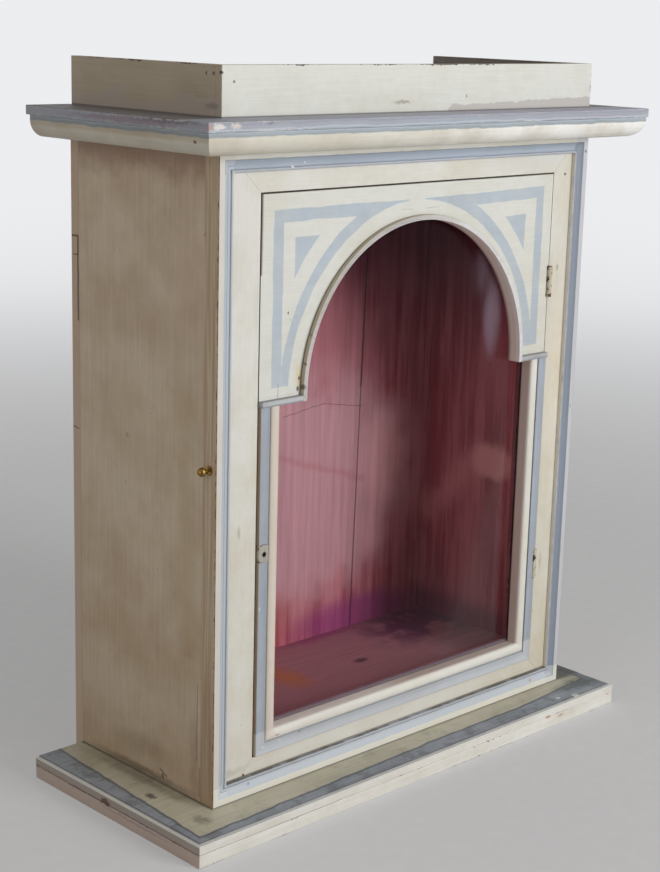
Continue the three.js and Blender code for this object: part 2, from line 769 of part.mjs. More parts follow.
// The glass lies behind the face of the door and is held by four stops
function addGlazing() {
  const rebateLeft = doorLeft + doorBackMemberWidth;
  const rebateRight = doorRight - doorBackMemberWidth;
  const rebateFoot = doorFoot + doorBackMemberWidth;
  const rebateTop = doorTop - doorBackMemberWidth;
  const gap = glassEdgeClearance;
  const glassBack = glassFront + glassThickness;
  const pane = block(
    [rebateLeft + gap, rebateRight - gap],
    [glassFront, glassBack],
    [rebateFoot + gap, rebateTop - gap],
  );
  place(doorGroup, "glass_pane", pane, windowGlass);
  const y = [glassBack, doorBack];
  const stopFoot = rebateFoot + glazingStopWidth;
  const stopTop = rebateTop - glazingStopWidth;
  const stops = {
    left: [[rebateLeft, rebateLeft + glazingStopWidth], [stopFoot, stopTop]],
    right: [[rebateRight - glazingStopWidth, rebateRight], [stopFoot, stopTop]],
    top: [[rebateLeft, rebateRight], [stopTop, rebateTop]],
    bottom: [[rebateLeft, rebateRight], [rebateFoot, stopFoot]],
  };
  Object.entries(stops).forEach(([side, [x, z]]) => {
    place(doorGroup, `glazing_stop_${side}`, block(x, y, z), bareWood);
  });
}

// The lock pin runs through the left stile; pushed home it enters the edge of the door
function addLockPin() {
  const centre = [0, lockPinY, lockPinZ];
  const knobFace = lockPinKnobRadius - lockPinKnobStandOff;
  const tip = openingLeft - lockPinTipShort;
  place(lockPinGroup, "lock_pin_rod", roundBar("x", lockPinRadius, knobFace, tip, centre), brass);

  // The knob is a ball that runs out into a short neck where it meets the rod
  const profile = [new THREE.Vector2(0, -lockPinKnobRadius)];
  const neckAngle = Math.asin(lockPinKnobNeckRadius / lockPinKnobRadius);
  const steps = 14;
  for (let i = 1; i <= steps; i += 1) {
    const angle = Math.PI - (Math.PI - neckAngle) * (i / steps);
    profile.push(new THREE.Vector2(Math.sin(angle), Math.cos(angle)).multiplyScalar(lockPinKnobRadius));
  }
  profile.push(new THREE.Vector2(lockPinKnobNeckRadius, lockPinKnobRadius));
  profile.push(new THREE.Vector2(0, lockPinKnobRadius));
  const knob = new THREE.LatheGeometry(profile, roundFacets);
  knob.rotateZ(-Math.PI / 2).translate(-lockPinKnobStandOff, lockPinY, lockPinZ);
  place(lockPinGroup, "lock_pin_knob", knob, brass);

  const boreRadius = lockPinRadius + lockPinBoreClearance;
  const collar = roundBar("x", lockCollarRadius, -lockCollarThickness, 0, centre);
  const hole = roundBar("x", boreRadius, -lockCollarThickness - 1, 1, centre);
  place(caseGroup, "lock_pin_collar", cut(collar, hole), brass);
}

addPlinth();
addCarcass();
addFaceFrame();
addFrameMoulding();
addCornice();
addGallery();
addDoorFrame();
addSpandrel();
addDoorMoulding();
addGlazing();
addHinges();
addLockPin();

export default shrine;
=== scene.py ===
import json
import math
import random

import bmesh
import bpy
import numpy as np
from mathutils import Matrix, Vector

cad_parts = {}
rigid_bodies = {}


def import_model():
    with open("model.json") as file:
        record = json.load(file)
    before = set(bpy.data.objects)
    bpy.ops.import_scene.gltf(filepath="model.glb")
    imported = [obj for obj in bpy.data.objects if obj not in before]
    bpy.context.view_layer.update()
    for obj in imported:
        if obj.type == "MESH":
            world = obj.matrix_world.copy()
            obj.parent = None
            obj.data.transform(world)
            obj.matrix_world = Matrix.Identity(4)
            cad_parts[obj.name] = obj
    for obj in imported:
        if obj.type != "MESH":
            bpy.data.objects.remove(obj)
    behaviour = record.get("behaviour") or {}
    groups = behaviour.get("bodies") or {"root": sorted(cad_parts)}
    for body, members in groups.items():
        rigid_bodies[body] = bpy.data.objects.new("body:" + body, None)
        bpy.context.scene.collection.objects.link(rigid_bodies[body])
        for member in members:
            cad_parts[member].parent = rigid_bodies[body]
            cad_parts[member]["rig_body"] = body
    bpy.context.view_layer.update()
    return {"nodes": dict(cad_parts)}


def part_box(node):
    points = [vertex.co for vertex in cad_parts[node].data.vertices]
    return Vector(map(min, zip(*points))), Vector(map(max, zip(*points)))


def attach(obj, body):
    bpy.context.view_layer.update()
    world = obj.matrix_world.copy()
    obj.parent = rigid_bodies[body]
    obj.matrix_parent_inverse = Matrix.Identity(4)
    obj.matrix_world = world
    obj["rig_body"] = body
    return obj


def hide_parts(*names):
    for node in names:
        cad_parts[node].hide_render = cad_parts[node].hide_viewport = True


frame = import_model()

# A painted wooden niche shrine: a glazed case on a stepped plinth with a moulded cornice, an arched
# door and a low gallery on top. Lengths are metres unless a name says mm. Places on the case are
# given in millimetres from its own corner: X from the left side face, Y from the front of the frame
# moulding towards the back, Z from the underside of the plinth.
MM = 0.001
CASE_CORNER = (228.0, 79.0, 0.0)

# Places and widths that the paint follows, in case millimetres
CASE_WIDTH = 466.0
CASE_MIDDLE = CASE_WIDTH / 2
PLINTH_TOP = 21.0
SOFFIT = 581.0
CORNICE_BOARD_TOP = 608.0
FRAME_FACE = 5.5
PANEL_FRONT = 17.5
NICHE_LOW = (15.4, 17.2, 54.0)
NICHE_HIGH = (450.6, 189.6, 586.6)
FRAME_MITRE = 27.0
FRAME_RUN = 17.0
FLOOR_KNOT = (285.0, 108.0, 55.0)
# The frame's opening and the door in it: left, right, foot, top
OPENING = (49.0, 423.5, 52.5, 547.0)
DOOR = (50.25, 422.75, 53.5, 545.5)
SPANDREL_FOOT = 367.75
# X and Z of the middle of the arch
ARCH_CENTRE = (240.625, 374.0)
ARCH_RADIUS = 139.5
# The plinth's left, right and front
PLINTH = (-53.0, 502.0, -46.0)
PLINTH_LIP = 3.5

# Real widths of the paint's own texture, in millimetres
BRUSH_STROKE = 3.2
BRISTLE_MARK = 1.1
GRAIN_LINE = 2.4
BLOTCH = 55.0
MOTTLE = 8.0
SPECK_SPACING = 17.0
CHIP = 3.5
RUBBED_PATCH = 38.0
DISTEMPER_CLOUD = 90.0

# How many of a pattern's marks go in a millimetre
CRACK_BENDS = 0.09
ARRIS_CHIPS = 0.11
PLINTH_GRIME = 0.045
THIN_COVER = 0.05
HINGE_RUST, HINGE_FLAKES = 0.35, 0.2
NAIL_RUST = 0.8
BRASS_TARNISH = 0.4
GLASS_RIPPLE = 0.012

# Depth of the relief of paint and grain, in metres
RELIEF = 0.0004


def linear(colour):
    """An sRGB hex colour as the linear one that the shaders take."""
    channels = [int(colour[i:i + 2], 16) / 255 for i in (1, 3, 5)]
    return tuple(c / 12.92 if c <= 0.04045 else ((c + 0.055) / 1.055) ** 2.4 for c in channels) + (1.0,)


def enabled(sockets, name=None):
    """The first socket in use, or the first in use that has that name."""
    return next(s for s in sockets if s.enabled and name in (None, s.name))


def add(tree, kind, inputs=(), **settings):
    """Adds a node with its settings, and sets or links its inputs.

    The inputs come in the order of the sockets, or under their names. A node given as a value stands
    for its first output, and a hex colour for its linear one. A kind without a family in its name is
    a shader node. A MapRange takes the value, the two limits it goes between, and what they become.
    """
    node = tree.nodes.new(kind if "Node" in kind else "ShaderNode" + kind)
    for name, value in settings.items():
        setattr(node, name, value)
    for key, value in inputs.items() if isinstance(inputs, dict) else enumerate(inputs):
        socket = node.inputs[key] if isinstance(key, int) else enabled(node.inputs, key)
        if isinstance(value, bpy.types.Node):
            value = enabled(value.outputs)
        if isinstance(value, str) and value.startswith("#"):
            value = linear(value)
        if isinstance(value, bpy.types.NodeSocket):
            tree.links.new(value, socket)
        else:
            socket.default_value = value
    return node


def shared(name, inputs, outputs, kind="ShaderNodeTree"):
    """An empty node group with those sockets, and its two ends."""
    tree = bpy.data.node_groups.new(name, kind)
    for label, socket_kind, value in inputs:
        socket = tree.interface.new_socket(label, in_out="INPUT", socket_type="NodeSocket" + socket_kind)
        if value is not None:
            socket.default_value = value
    for label, socket_kind in outputs:
        tree.interface.new_socket(label, in_out="OUTPUT", socket_type="NodeSocket" + socket_kind)
    return tree, tree.nodes.new("NodeGroupInput").outputs, tree.nodes.new("NodeGroupOutput").inputs


# Steps that the finishes share


def joined(tree, operation, *values):
    """All the values taken together, two at a time, such as their product or the least of them."""
    whole = values[0]
    for value in values[1:]:
        whole = add(tree, "Math", [whole, value], operation=operation)
    return whole


def both(tree, *masks):
    """The masks multiplied together."""
    return joined(tree, "MULTIPLY", *masks)


def step(tree, value, low, high):
    """A mask that goes smoothly from 0 at the first limit to 1 at the second."""
    return add(tree, "MapRange", [value, low, high], interpolation_type="SMOOTHSTEP").outputs[0]


def between(tree, value, low, high, softness=0.3):
    """A mask that is 1 where the value lies between two limits, with soft ends."""
    rise = step(tree, value, low - softness, low + softness)
    fall = step(tree, value, high + softness, high - softness)
    return both(tree, rise, fall)


def off_middle(tree, value, middle):
    """How far a value lies from a middle, either way."""
    gap = add(tree, "Math", [value, middle], operation="SUBTRACT")
    return add(tree, "Math", [gap], operation="ABSOLUTE")


def from_centre(tree, x, z, centre):
    """How far a point lies from a centre, seen from the front."""
    flat = add(tree, "CombineXYZ", {0: x, 2: z})
    gap = add(tree, "VectorMath", [flat, (centre[0], 0.0, centre[1])], operation="DISTANCE")
    return gap.outputs["Value"]


def strayed(tree, place, pitch, detail, reach):
    """The place moved a little this way and that, so that an edge looks drawn by hand."""
    wander = add(tree, "TexNoise", {"Vector": place, "Scale": pitch, "Detail": detail})
    centred = add(tree, "VectorMath", [wander.outputs["Color"], (0.5,) * 3], operation="SUBTRACT")
    moved = add(tree, "VectorMath", {0: centred, "Scale": reach}, operation="SCALE")
    return add(tree, "VectorMath", [place, moved], operation="ADD")


def wavering(tree, place, pitch, amount):
    """A small length that wavers over the surface, for an edge drawn by hand."""
    noise = add(tree, "TexNoise", {"Vector": place, "Scale": 1 / pitch, "Detail": 3.0})
    return add(tree, "MapRange", [noise, 0.25, 0.75, -amount, amount]).outputs[0]


def along_grain(tree):
    """Where a point lies along and across the grain of its board, in millimetres."""
    grain = add(tree, "Attribute", attribute_name="grain")
    return add(tree, "VectorMath", {0: grain.outputs["Vector"], "Scale": 1000.0}, operation="SCALE")


def drawn_out(tree, place, stretch, detail, roughness=0.5):
    """Noise drawn out one way. The stretch says how many of its marks go in a millimetre each way."""
    place = add(tree, "VectorMath", [place, stretch], operation="MULTIPLY")
    return add(tree, "TexNoise", {"Vector": place, "Scale": 1.0, "Detail": detail, "Roughness": roughness})


def toned(tree, colour, value, darkest, lightest, low=0.3, high=0.7):
    """The colour made darker and lighter by a noise, between two limits of the noise."""
    amount = add(tree, "MapRange", [value, low, high, darkest, lightest])
    return add(tree, "VectorMath", {0: colour, "Scale": amount}, operation="SCALE").outputs[0]


def over(tree, colour, mask, layer, strength=1.0):
    """A colour laid over another where the mask is."""
    if strength != 1.0:
        mask = add(tree, "Math", [mask, strength], operation="MULTIPLY")
    return enabled(add(tree, "Mix", {"Factor": mask, "A": colour, "B": layer}, data_type="RGBA").outputs)


# Groups that the finishes share


def make_edge_reach():
    """How far, in millimetres, a point on a board is from the nearest of the board's edges."""
    tree, _, end = shared("distance_from_board_edge", [], [("Reach", "Float")])
    low = add(tree, "Attribute", attribute_name="from_low_corner")
    high = add(tree, "Attribute", attribute_name="from_high_corner")
    near = add(tree, "VectorMath", [low.outputs["Vector"], high.outputs["Vector"]], operation="MINIMUM")
    x, y, z = add(tree, "SeparateXYZ", [near]).outputs
    # An edge is where two of the three reaches are small, so the middle one is how far it is
    smaller = joined(tree, "MINIMUM", x, y)
    larger = joined(tree, "MAXIMUM", x, y)
    limited = joined(tree, "MINIMUM", larger, z)
    middle = joined(tree, "MAXIMUM", smaller, limited)
    millimetres = joined(tree, "MULTIPLY", middle, 1000.0)
    tree.links.new(millimetres.outputs[0], end["Reach"])
    return tree


def make_stain():
    """A soft-edged irregular spot round a place, as a mask."""
    tree, start, end = shared(
        "irregular_spot",
        [("Place", "Vector", None), ("Centre", "Vector", None), ("Size", "Vector", (10.0,) * 3),
         ("Softness", "Float", 0.5), ("Wobble", "Float", 2.0), ("Detail", "Float", 6.0)],
        [("Mask", "Float")],
    )
    pitch = add(tree, "Math", [1.0, start["Detail"]], operation="DIVIDE")
    moved = strayed(tree, start["Place"], pitch, 3.0, start["Wobble"])
    offset = add(tree, "VectorMath", [moved, start["Centre"]], operation="SUBTRACT")
    sized = add(tree, "VectorMath", [offset, start["Size"]], operation="DIVIDE")
    length = add(tree, "VectorMath", [sized], operation="LENGTH")
    inner = add(tree, "Math", [1.0, start["Softness"]], operation="SUBTRACT")
    reach = [length.outputs["Value"], inner, 1.0, 1.0, 0.0]
    mask = add(tree, "MapRange", reach, interpolation_type="SMOOTHSTEP")
    tree.links.new(mask.outputs[0], end["Mask"])
    return tree


def make_crack():
    """A thin wandering line between two places, as a mask."""
    tree, start, end = shared(
        "thin_crack",
        [("Place", "Vector", None), ("From", "Vector", None), ("To", "Vector", None),
         ("Width", "Float", 0.6), ("Wobble", "Float", 1.0)],
        [("Mask", "Float")],
    )
    moved = strayed(tree, start["Place"], CRACK_BENDS, 4.0, start["Wobble"])
    out = add(tree, "VectorMath", [moved, start["From"]], operation="SUBTRACT")
    run = add(tree, "VectorMath", [start["To"], start["From"]], operation="SUBTRACT")
    along = add(tree, "VectorMath", [out, run], operation="DOT_PRODUCT").outputs["Value"]
    whole = add(tree, "VectorMath", [run, run], operation="DOT_PRODUCT").outputs["Value"]
    share = add(tree, "Math", [along, whole], operation="DIVIDE", use_clamp=True)
    foot = add(tree, "VectorMath", {0: run, "Scale": share}, operation="SCALE")
    gap = add(tree, "VectorMath", [out, foot], operation="DISTANCE")
    reach = [gap.outputs["Value"], 0.0, start["Width"], 1.0, 0.0]
    mask = add(tree, "MapRange", reach, interpolation_type="SMOOTHSTEP")
    tree.links.new(mask.outputs[0], end["Mask"])
    return tree


def make_brushed_paint():
    """Old oil paint brushed on softwood: strokes along the grain, yellowing, specks and rubbed edges."""
    tree, start, end = shared(
        "old_brushed_oil_paint",
        [("Paint", "Color", None), ("Aged", "Color", None), ("Bare", "Color", None),
         ("Edge", "Float", 50.0), ("Wear", "Float", 0.6), ("Ageing", "Float", 0.3),
         ("Streaks", "Float", 0.35), ("Specks", "Float", 0.5)],
        [("Color", "Color"), ("Roughness", "Float"), ("Height", "Float")],
    )
    mm = along_grain(tree)
    strokes = drawn_out(tree, mm, (0.03 / BRUSH_STROKE, 1 / BRUSH_STROKE, 1 / BRUSH_STROKE), 4.0, 0.6)
    bristles = drawn_out(tree, mm, (0.03 / BRISTLE_MARK, 1 / BRISTLE_MARK, 1 / BRISTLE_MARK), 2.0)
    blotches = add(tree, "TexNoise", {"Vector": mm, "Scale": 1 / BLOTCH, "Detail": 4.0, "Roughness": 0.55})
    mottle = add(tree, "TexNoise", {"Vector": mm, "Scale": 1 / MOTTLE, "Detail": 3.0, "Roughness": 0.6})

    # Yellowing comes in wide blotches and follows the strokes
    wide = add(tree, "MapRange", [blotches, 0.38, 0.66, -0.25, 0.25])
    fine = add(tree, "Math", [strokes, 0.5], operation="SUBTRACT")
    lined = add(tree, "Math", [fine, start["Streaks"]], operation="MULTIPLY")
    doubled = add(tree, "Math", [lined, 2.0, wide], operation="MULTIPLY_ADD")
    aged = add(tree, "Math", [doubled, start["Ageing"]], operation="ADD", use_clamp=True)
    colour = over(tree, start["Paint"], aged, start["Aged"])
    shade = add(tree, "Math", [bristles, mottle], operation="ADD")
    colour = toned(tree, colour, shade, 0.955, 1.03, 0.7, 1.3)

    # Small dark specks of grit and fly spots, in a few of the cells only
    cells = add(tree, "TexVoronoi", {"Vector": mm, "Scale": 1 / SPECK_SPACING}, feature="F1")
    pick = add(tree, "SeparateColor", [cells.outputs["Color"]])
    radius = add(tree, "MapRange", [pick.outputs[0], 0.55, 1.0, 0.0, 0.05])
    inside = add(tree, "Math", [cells.outputs["Distance"], radius], operation="LESS_THAN")
    speck = add(tree, "Math", [inside, start["Specks"]], operation="MULTIPLY")
    colour = over(tree, colour, speck, "#6b5846")

    # Rubbed edges, broken up along their length
    ragged = add(tree, "TexNoise", {"Vector": mm, "Scale": 1 / CHIP, "Detail": 3.0, "Roughness": 0.7})
    patchy = add(tree, "TexNoise", {"Vector": mm, "Scale": 1 / RUBBED_PATCH, "Detail": 2.0})
    rough_edge = add(tree, "MapRange", [ragged, 0.3, 0.7, -1.2, 1.2])
    broken = add(tree, "MapRange", [patchy, 0.36, 0.64, -1.3, 1.3])
    uneven = add(tree, "Math", [rough_edge, broken], operation="ADD")
    reach = add(tree, "Math", [start["Edge"], uneven], operation="ADD")
    left = add(tree, "Math", [start["Wear"], reach], operation="SUBTRACT")
    worn = step(tree, left, 0.0, 0.35)
    lines = drawn_out(tree, mm, (0.05 / GRAIN_LINE, 1 / GRAIN_LINE, 1 / GRAIN_LINE), 3.0)
    bare = toned(tree, start["Bare"], lines, 0.72, 1.1, 0.35, 0.65)
    colour = over(tree, colour, worn, bare)

    gloss = add(tree, "MapRange", [mottle, 0.3, 0.7, 0.46, 0.62])
    roughness = add(tree, "Math", [worn, 0.25, gloss], operation="MULTIPLY_ADD", use_clamp=True)
    ridges = add(tree, "Math", [strokes, 0.5, bristles], operation="MULTIPLY_ADD")
    bumps = add(tree, "Math", [mottle, 0.5, ridges], operation="MULTIPLY_ADD")
    height = add(tree, "Math", [worn, -1.4, bumps], operation="MULTIPLY_ADD")
    tree.links.new(colour, end["Color"])
    tree.links.new(roughness.outputs[0], end["Roughness"])
    tree.links.new(height.outputs[0], end["Height"])
    return tree


EDGE_REACH = make_edge_reach()
SPOT = make_stain()
CRACK = make_crack()
BRUSHED_PAINT = make_brushed_paint()


def start_material(name):
    """An empty material, its tree, and the case place of each point in millimetres."""
    material = bpy.data.materials.new(name)
    material.use_nodes = True
    tree = material.node_tree
    tree.nodes.clear()
    here = add(tree, "TexCoord").outputs["Object"]
    place = add(tree, "VectorMath", [here, (1000.0,) * 3, CASE_CORNER], operation="MULTIPLY_ADD")
    return material, tree, place.outputs[0]


def close_material(material, colour, roughness, height, bump=0.25, **constants):
    """Ends a finish in one Principled shader, with its colour, roughness and bump from the nodes."""
    tree = material.node_tree
    normal = add(tree, "Bump", {"Strength": bump, "Distance": RELIEF, "Height": height})
    inputs = {"Base Color": colour, "Roughness": roughness, "Normal": normal, **constants}
    shader = add(tree, "BsdfPrincipled", inputs)
    add(tree, "OutputMaterial", {"Surface": shader})
    return material


def spots(tree, place, colour, marks):
    """Lays spots on a colour: centre, half sizes, colour, strength, softness, wobble, detail."""
    for centre, size, tint, strength, softness, wobble, detail in marks:
        spot = add(tree, "Group", [place, centre, size, softness, wobble, detail], node_tree=SPOT)
        colour = over(tree, colour, spot, tint, strength)
    return colour


def cracks(tree, place, colour, marks):
    """Lays thin lines on a colour: from, to, width, wobble, colour, strength."""
    for begin, finish, width, wobble, tint, strength in marks:
        line = add(tree, "Group", [place, begin, finish, width, wobble], node_tree=CRACK)
        colour = over(tree, colour, line, tint, strength)
    return colour


def brushed(tree, paint, aged, bare, wear=0.6, ageing=0.3, streaks=0.35, specks=0.5, edge=None):
    """The shared paint in this finish's colours, as colour, roughness and height."""
    if edge is None:
        edge = add(tree, "Group", node_tree=EDGE_REACH)
    inputs = [paint, aged, bare, edge, wear, ageing, streaks, specks]
    return add(tree, "Group", inputs, node_tree=BRUSHED_PAINT).outputs[:3]


def niche_inside(tree, place):
    """A mask of the faces that line the niche."""
    low = add(tree, "VectorMath", [place, NICHE_LOW], operation="SUBTRACT")
    high = add(tree, "VectorMath", [NICHE_HIGH, place], operation="SUBTRACT")
    near = add(tree, "VectorMath", [low, high], operation="MINIMUM")
    least = joined(tree, "MINIMUM", *add(tree, "SeparateXYZ", [near]).outputs)
    return add(tree, "Math", [least, 0.0], operation="GREATER_THAN").outputs[0]


def red_stain(tree, place):
    """Wine red distemper, thin over the wood: dark runs down the boards, darker towards the ceiling."""
    mm = along_grain(tree)
    runs = drawn_out(tree, mm, (0.006, 0.09, 0.09), 5.0, 0.62)
    fine = drawn_out(tree, mm, (0.02, 0.5, 0.5), 3.0)
    clouds = add(tree, "TexNoise", {"Vector": mm, "Scale": 1 / DISTEMPER_CLOUD, "Detail": 4.0})
    colour = over(tree, "#983446", step(tree, runs, 0.36, 0.62), "#c06a78")
    colour = over(tree, colour, step(tree, clouds, 0.46, 0.74), "#bf7680", 0.5)
    colour = toned(tree, colour, fine, 0.86, 1.1)
    z = add(tree, "SeparateXYZ", [place]).outputs["Z"]
    colour = over(tree, colour, step(tree, z, 345.0, 515.0), "#5a1a38", 0.9)
    return colour, fine


def outer_sides(tree, place, colour):
    """Beige on the frame's outer side faces, partly aged and partly painted warm shade, with a dark line and
    chips at the front arris.
    """
    x, y, z = add(tree, "SeparateXYZ", [place]).outputs
    outside = step(tree, off_middle(tree, x, CASE_MIDDLE), CASE_MIDDLE - 0.5, CASE_MIDDLE - 0.2)
    streaks = drawn_out(tree, place, (0.3, 0.3, 0.012), 4.0)
    beige = over(tree, "#cebda4", step(tree, streaks, 0.35, 0.65), "#b79e80")
    beige = over(tree, beige, step(tree, z, 190.0, 70.0), "#a58a6e", 0.6)
    worn = add(tree, "TexNoise", {"Vector": place, "Scale": ARRIS_CHIPS, "Detail": 4.0})
    reach = add(tree, "MapRange", [worn, 0.45, 0.75, 0.5, 2.4])
    chips = add(tree, "Math", [reach, y], operation="SUBTRACT")
    beige = over(tree, beige, step(tree, chips, 0.0, 0.3), "#6b4030", 0.85)
    return over(tree, colour, outside, beige)


# Finishes


def cream_front_paint():
    """Cream oil paint, brushed: a dull eggshell that yellows towards the foot and the right."""
    material, tree, place = start_material("brushed_cream_oil_paint_on_pine")
    x, y, z = add(tree, "SeparateXYZ", [place]).outputs
    low = add(tree, "MapRange", [z, 520.0, 60.0, 0.1, 0.5])
    right = add(tree, "MapRange", [x, 120.0, 450.0, 0.0, 0.35])
    ageing = joined(tree, "ADD", low, right)
    colour, roughness, height = brushed(
        tree, "#dddcd6", "#cdc6b1", "#8a6444", wear=-2.0, ageing=ageing, streaks=0.2,
    )
    # Raw brown wood shows on the edges round the door opening and on the back of the frame
    colour = over(tree, colour, opening_edge(tree, x, y, z), raw_wood(tree, x))
    colour = over(tree, colour, between(tree, z, 37.2, 38.7, 0.4), "#5f5a4e", 0.8)
    colour = spots(tree, place, colour, [
        ((390, 5.5, 563), (100, 3, 24), "#cdd4d8", 0.3, 0.8, 12, 14),
        ((444, 5.5, 330), (24, 3, 150), "#ecdcc0", 0.3, 0.8, 12, 14),
        ((232, 5.5, 46), (220, 3, 14), "#e0dfdc", 0.4, 0.7, 8, 9),
        ((435, 5.5, 155), (3, 3, 13), "#a39376", 0.45, 0.8, 3, 5),
        ((25, 5, 45), (26, 4, 5), "#8f8a78", 0.35, 0.9, 8, 9),
        ((445, 5, 34), (30, 4, 8), "#8a8068", 0.35, 0.9, 8, 9),
        ((30, 5.5, 262), (3, 2, 9), "#9a8d74", 0.5, 0.9, 3, 5),
        ((436, 5.5, 455), (2, 2, 5), "#7b6a52", 0.6, 0.8, 2, 3),
    ])
    # The mitres at the corners of the opening show as fine lines
    left, right, foot, top = OPENING
    mitres = []
    for corner_x, corner_z, out, up in (
        (left, top, -1, 1), (right, top, 1, 1), (left, foot, -1, -1), (right, foot, 1, -1),
    ):
        begin = (corner_x + out, FRAME_FACE, corner_z + up)
        finish = (corner_x + out * FRAME_MITRE, FRAME_FACE, corner_z + up * FRAME_MITRE)
        mitres.append((begin, finish, 0.4, 0.6, "#857a66", 0.3))
    colour = cracks(tree, place, colour, mitres)
    colour = outer_sides(tree, place, colour)
    return close_material(material, colour, roughness, height)


def raw_wood(tree, x):
    """The colour of raw pine edges: brown, and paler on the hinge side."""
    return over(tree, "#6f4a34", step(tree, x, 380.0, 410.0), "#c9bda9")


def opening_edge(tree, x, y, z):
    """A mask of the faces inside the door opening and behind the frame."""
    left, right, foot, top = OPENING
    across = off_middle(tree, x, (left + right) / 2)
    across = add(tree, "Math", [across, (right - left) / 2], operation="SUBTRACT")
    up = off_middle(tree, z, (foot + top) / 2)
    up = add(tree, "Math", [up, (top - foot) / 2], operation="SUBTRACT")
    edge = add(tree, "MapRange", [joined(tree, "MAXIMUM", across, up), 0.05, 0.3, 1.0, 0.0])
    deep = add(tree, "MapRange", [y, FRAME_FACE + 0.2, FRAME_FACE + 0.9])
    back = add(tree, "MapRange", [y, PANEL_FRONT - 0.4, PANEL_FRONT - 0.1])
    return joined(tree, "MAXIMUM", both(tree, edge, deep), back)


def side_paint():
    """Cream oil paint gone beige outside, partly as painted warm shade, streaked by the grain; wine red
    distemper on the niche side.
    """
    material, tree, place = start_material("brushed_beige_oil_paint_on_side_panels")
    z = add(tree, "SeparateXYZ", [place]).outputs["Z"]
    foot = add(tree, "MapRange", [z, 260.0, 40.0, 0.0, 0.3])
    ageing = joined(tree, "ADD", foot, 0.45)
    # The beige and the strong ageing make the sides browner than the front, partly as painted warm shade
    colour, roughness, height = brushed(
        tree, "#dacbb6", "#baa286", "#8a6048", wear=-1.5, ageing=ageing, streaks=0.4, specks=0.8,
    )
    # A dark handled band under the soffit and worn wood at the foot of the front corner
    level = joined(tree, "ADD", z, wavering(tree, place, 22.0, 9.0))
    limits = [level, SOFFIT - 34, SOFFIT - 8, 0.0, 0.55]
    under = add(tree, "MapRange", limits, interpolation_type="SMOOTHSTEP")
    colour = over(tree, colour, under, "#7c4e38")
    colour = spots(tree, place, colour, [
        ((0, 26, 60), (8, 9, 60), "#8d6a5a", 0.4, 0.9, 9, 14),
        ((0, 100, 24), (8, 100, 6), "#6e5c48", 0.7, 0.9, 8, 12),
        ((0, 40, 250), (8, 22, 230), "#b09a66", 0.3, 0.9, 20, 30),
        ((0, 34, 470), (8, 30, 80), "#c09a86", 0.25, 0.9, 20, 30),
        ((0, 96, 47), (8, 60, 20), "#8a7458", 0.35, 0.9, 12, 14),
        ((0, 120, 330), (3, 3, 4), "#7e6c58", 0.5, 0.8, 3, 3),
        ((0, 36, 152), (4, 14, 8), "#b08a78", 0.4, 0.9, 6, 8),
    ])
    colour = cracks(tree, place, colour, [
        ((0, 73, 33), (0, 64, 29), 1.5, 1.5, "#46302a", 0.9),
        ((0, 70, 28.5), (0, 69, 26.5), 2.2, 1.0, "#38241c", 0.9),
        ((0, 22, 128), (0, 22.6, 58), 1.1, 2.5, "#5e4638", 0.55),
        ((0, 19, 52), (0, 19, 26), 1.6, 2.5, "#5a4238", 0.5),
        ((0, 162, 41), (0, 162.5, 24), 0.8, 1.0, "#c4b4a0", 0.6),
    ])
    inside = niche_inside(tree, place)
    red, _ = red_stain(tree, place)
    # The first pale line and the first pale spot below are a painted pool of light with a sharp diagonal edge
    red = cracks(tree, place, red, [
        ((450.6, 176, 170), (450.6, 106, 240), 26.0, 14.0, "#e0989e", 0.5),
        ((450.6, 110, 200), (450.6, 104, 90), 30.0, 20.0, "#c07078", 0.35),
        ((450.6, 165, 200), (450.6, 168, 335), 12.0, 6.0, "#a01c34", 0.5),
    ])
    red = spots(tree, place, red, [
        ((450.6, 88, 240), (8, 38, 24), "#eaa8a6", 0.85, 0.5, 10, 20),
        ((450.6, 90, 330), (8, 60, 60), "#c46a76", 0.4, 0.8, 14, 24),
    ])
    # Painted shade along the foot of the niche's side wall, where it meets the floor
    red = over(tree, red, step(tree, z, 92.0, 66.0), "#6a1c48", 0.75)
    colour = over(tree, colour, inside, red)
    rough = add(tree, "Math", [inside, 0.15, roughness], operation="MULTIPLY_ADD", use_clamp=True)
    return close_material(material, colour, rough, height)


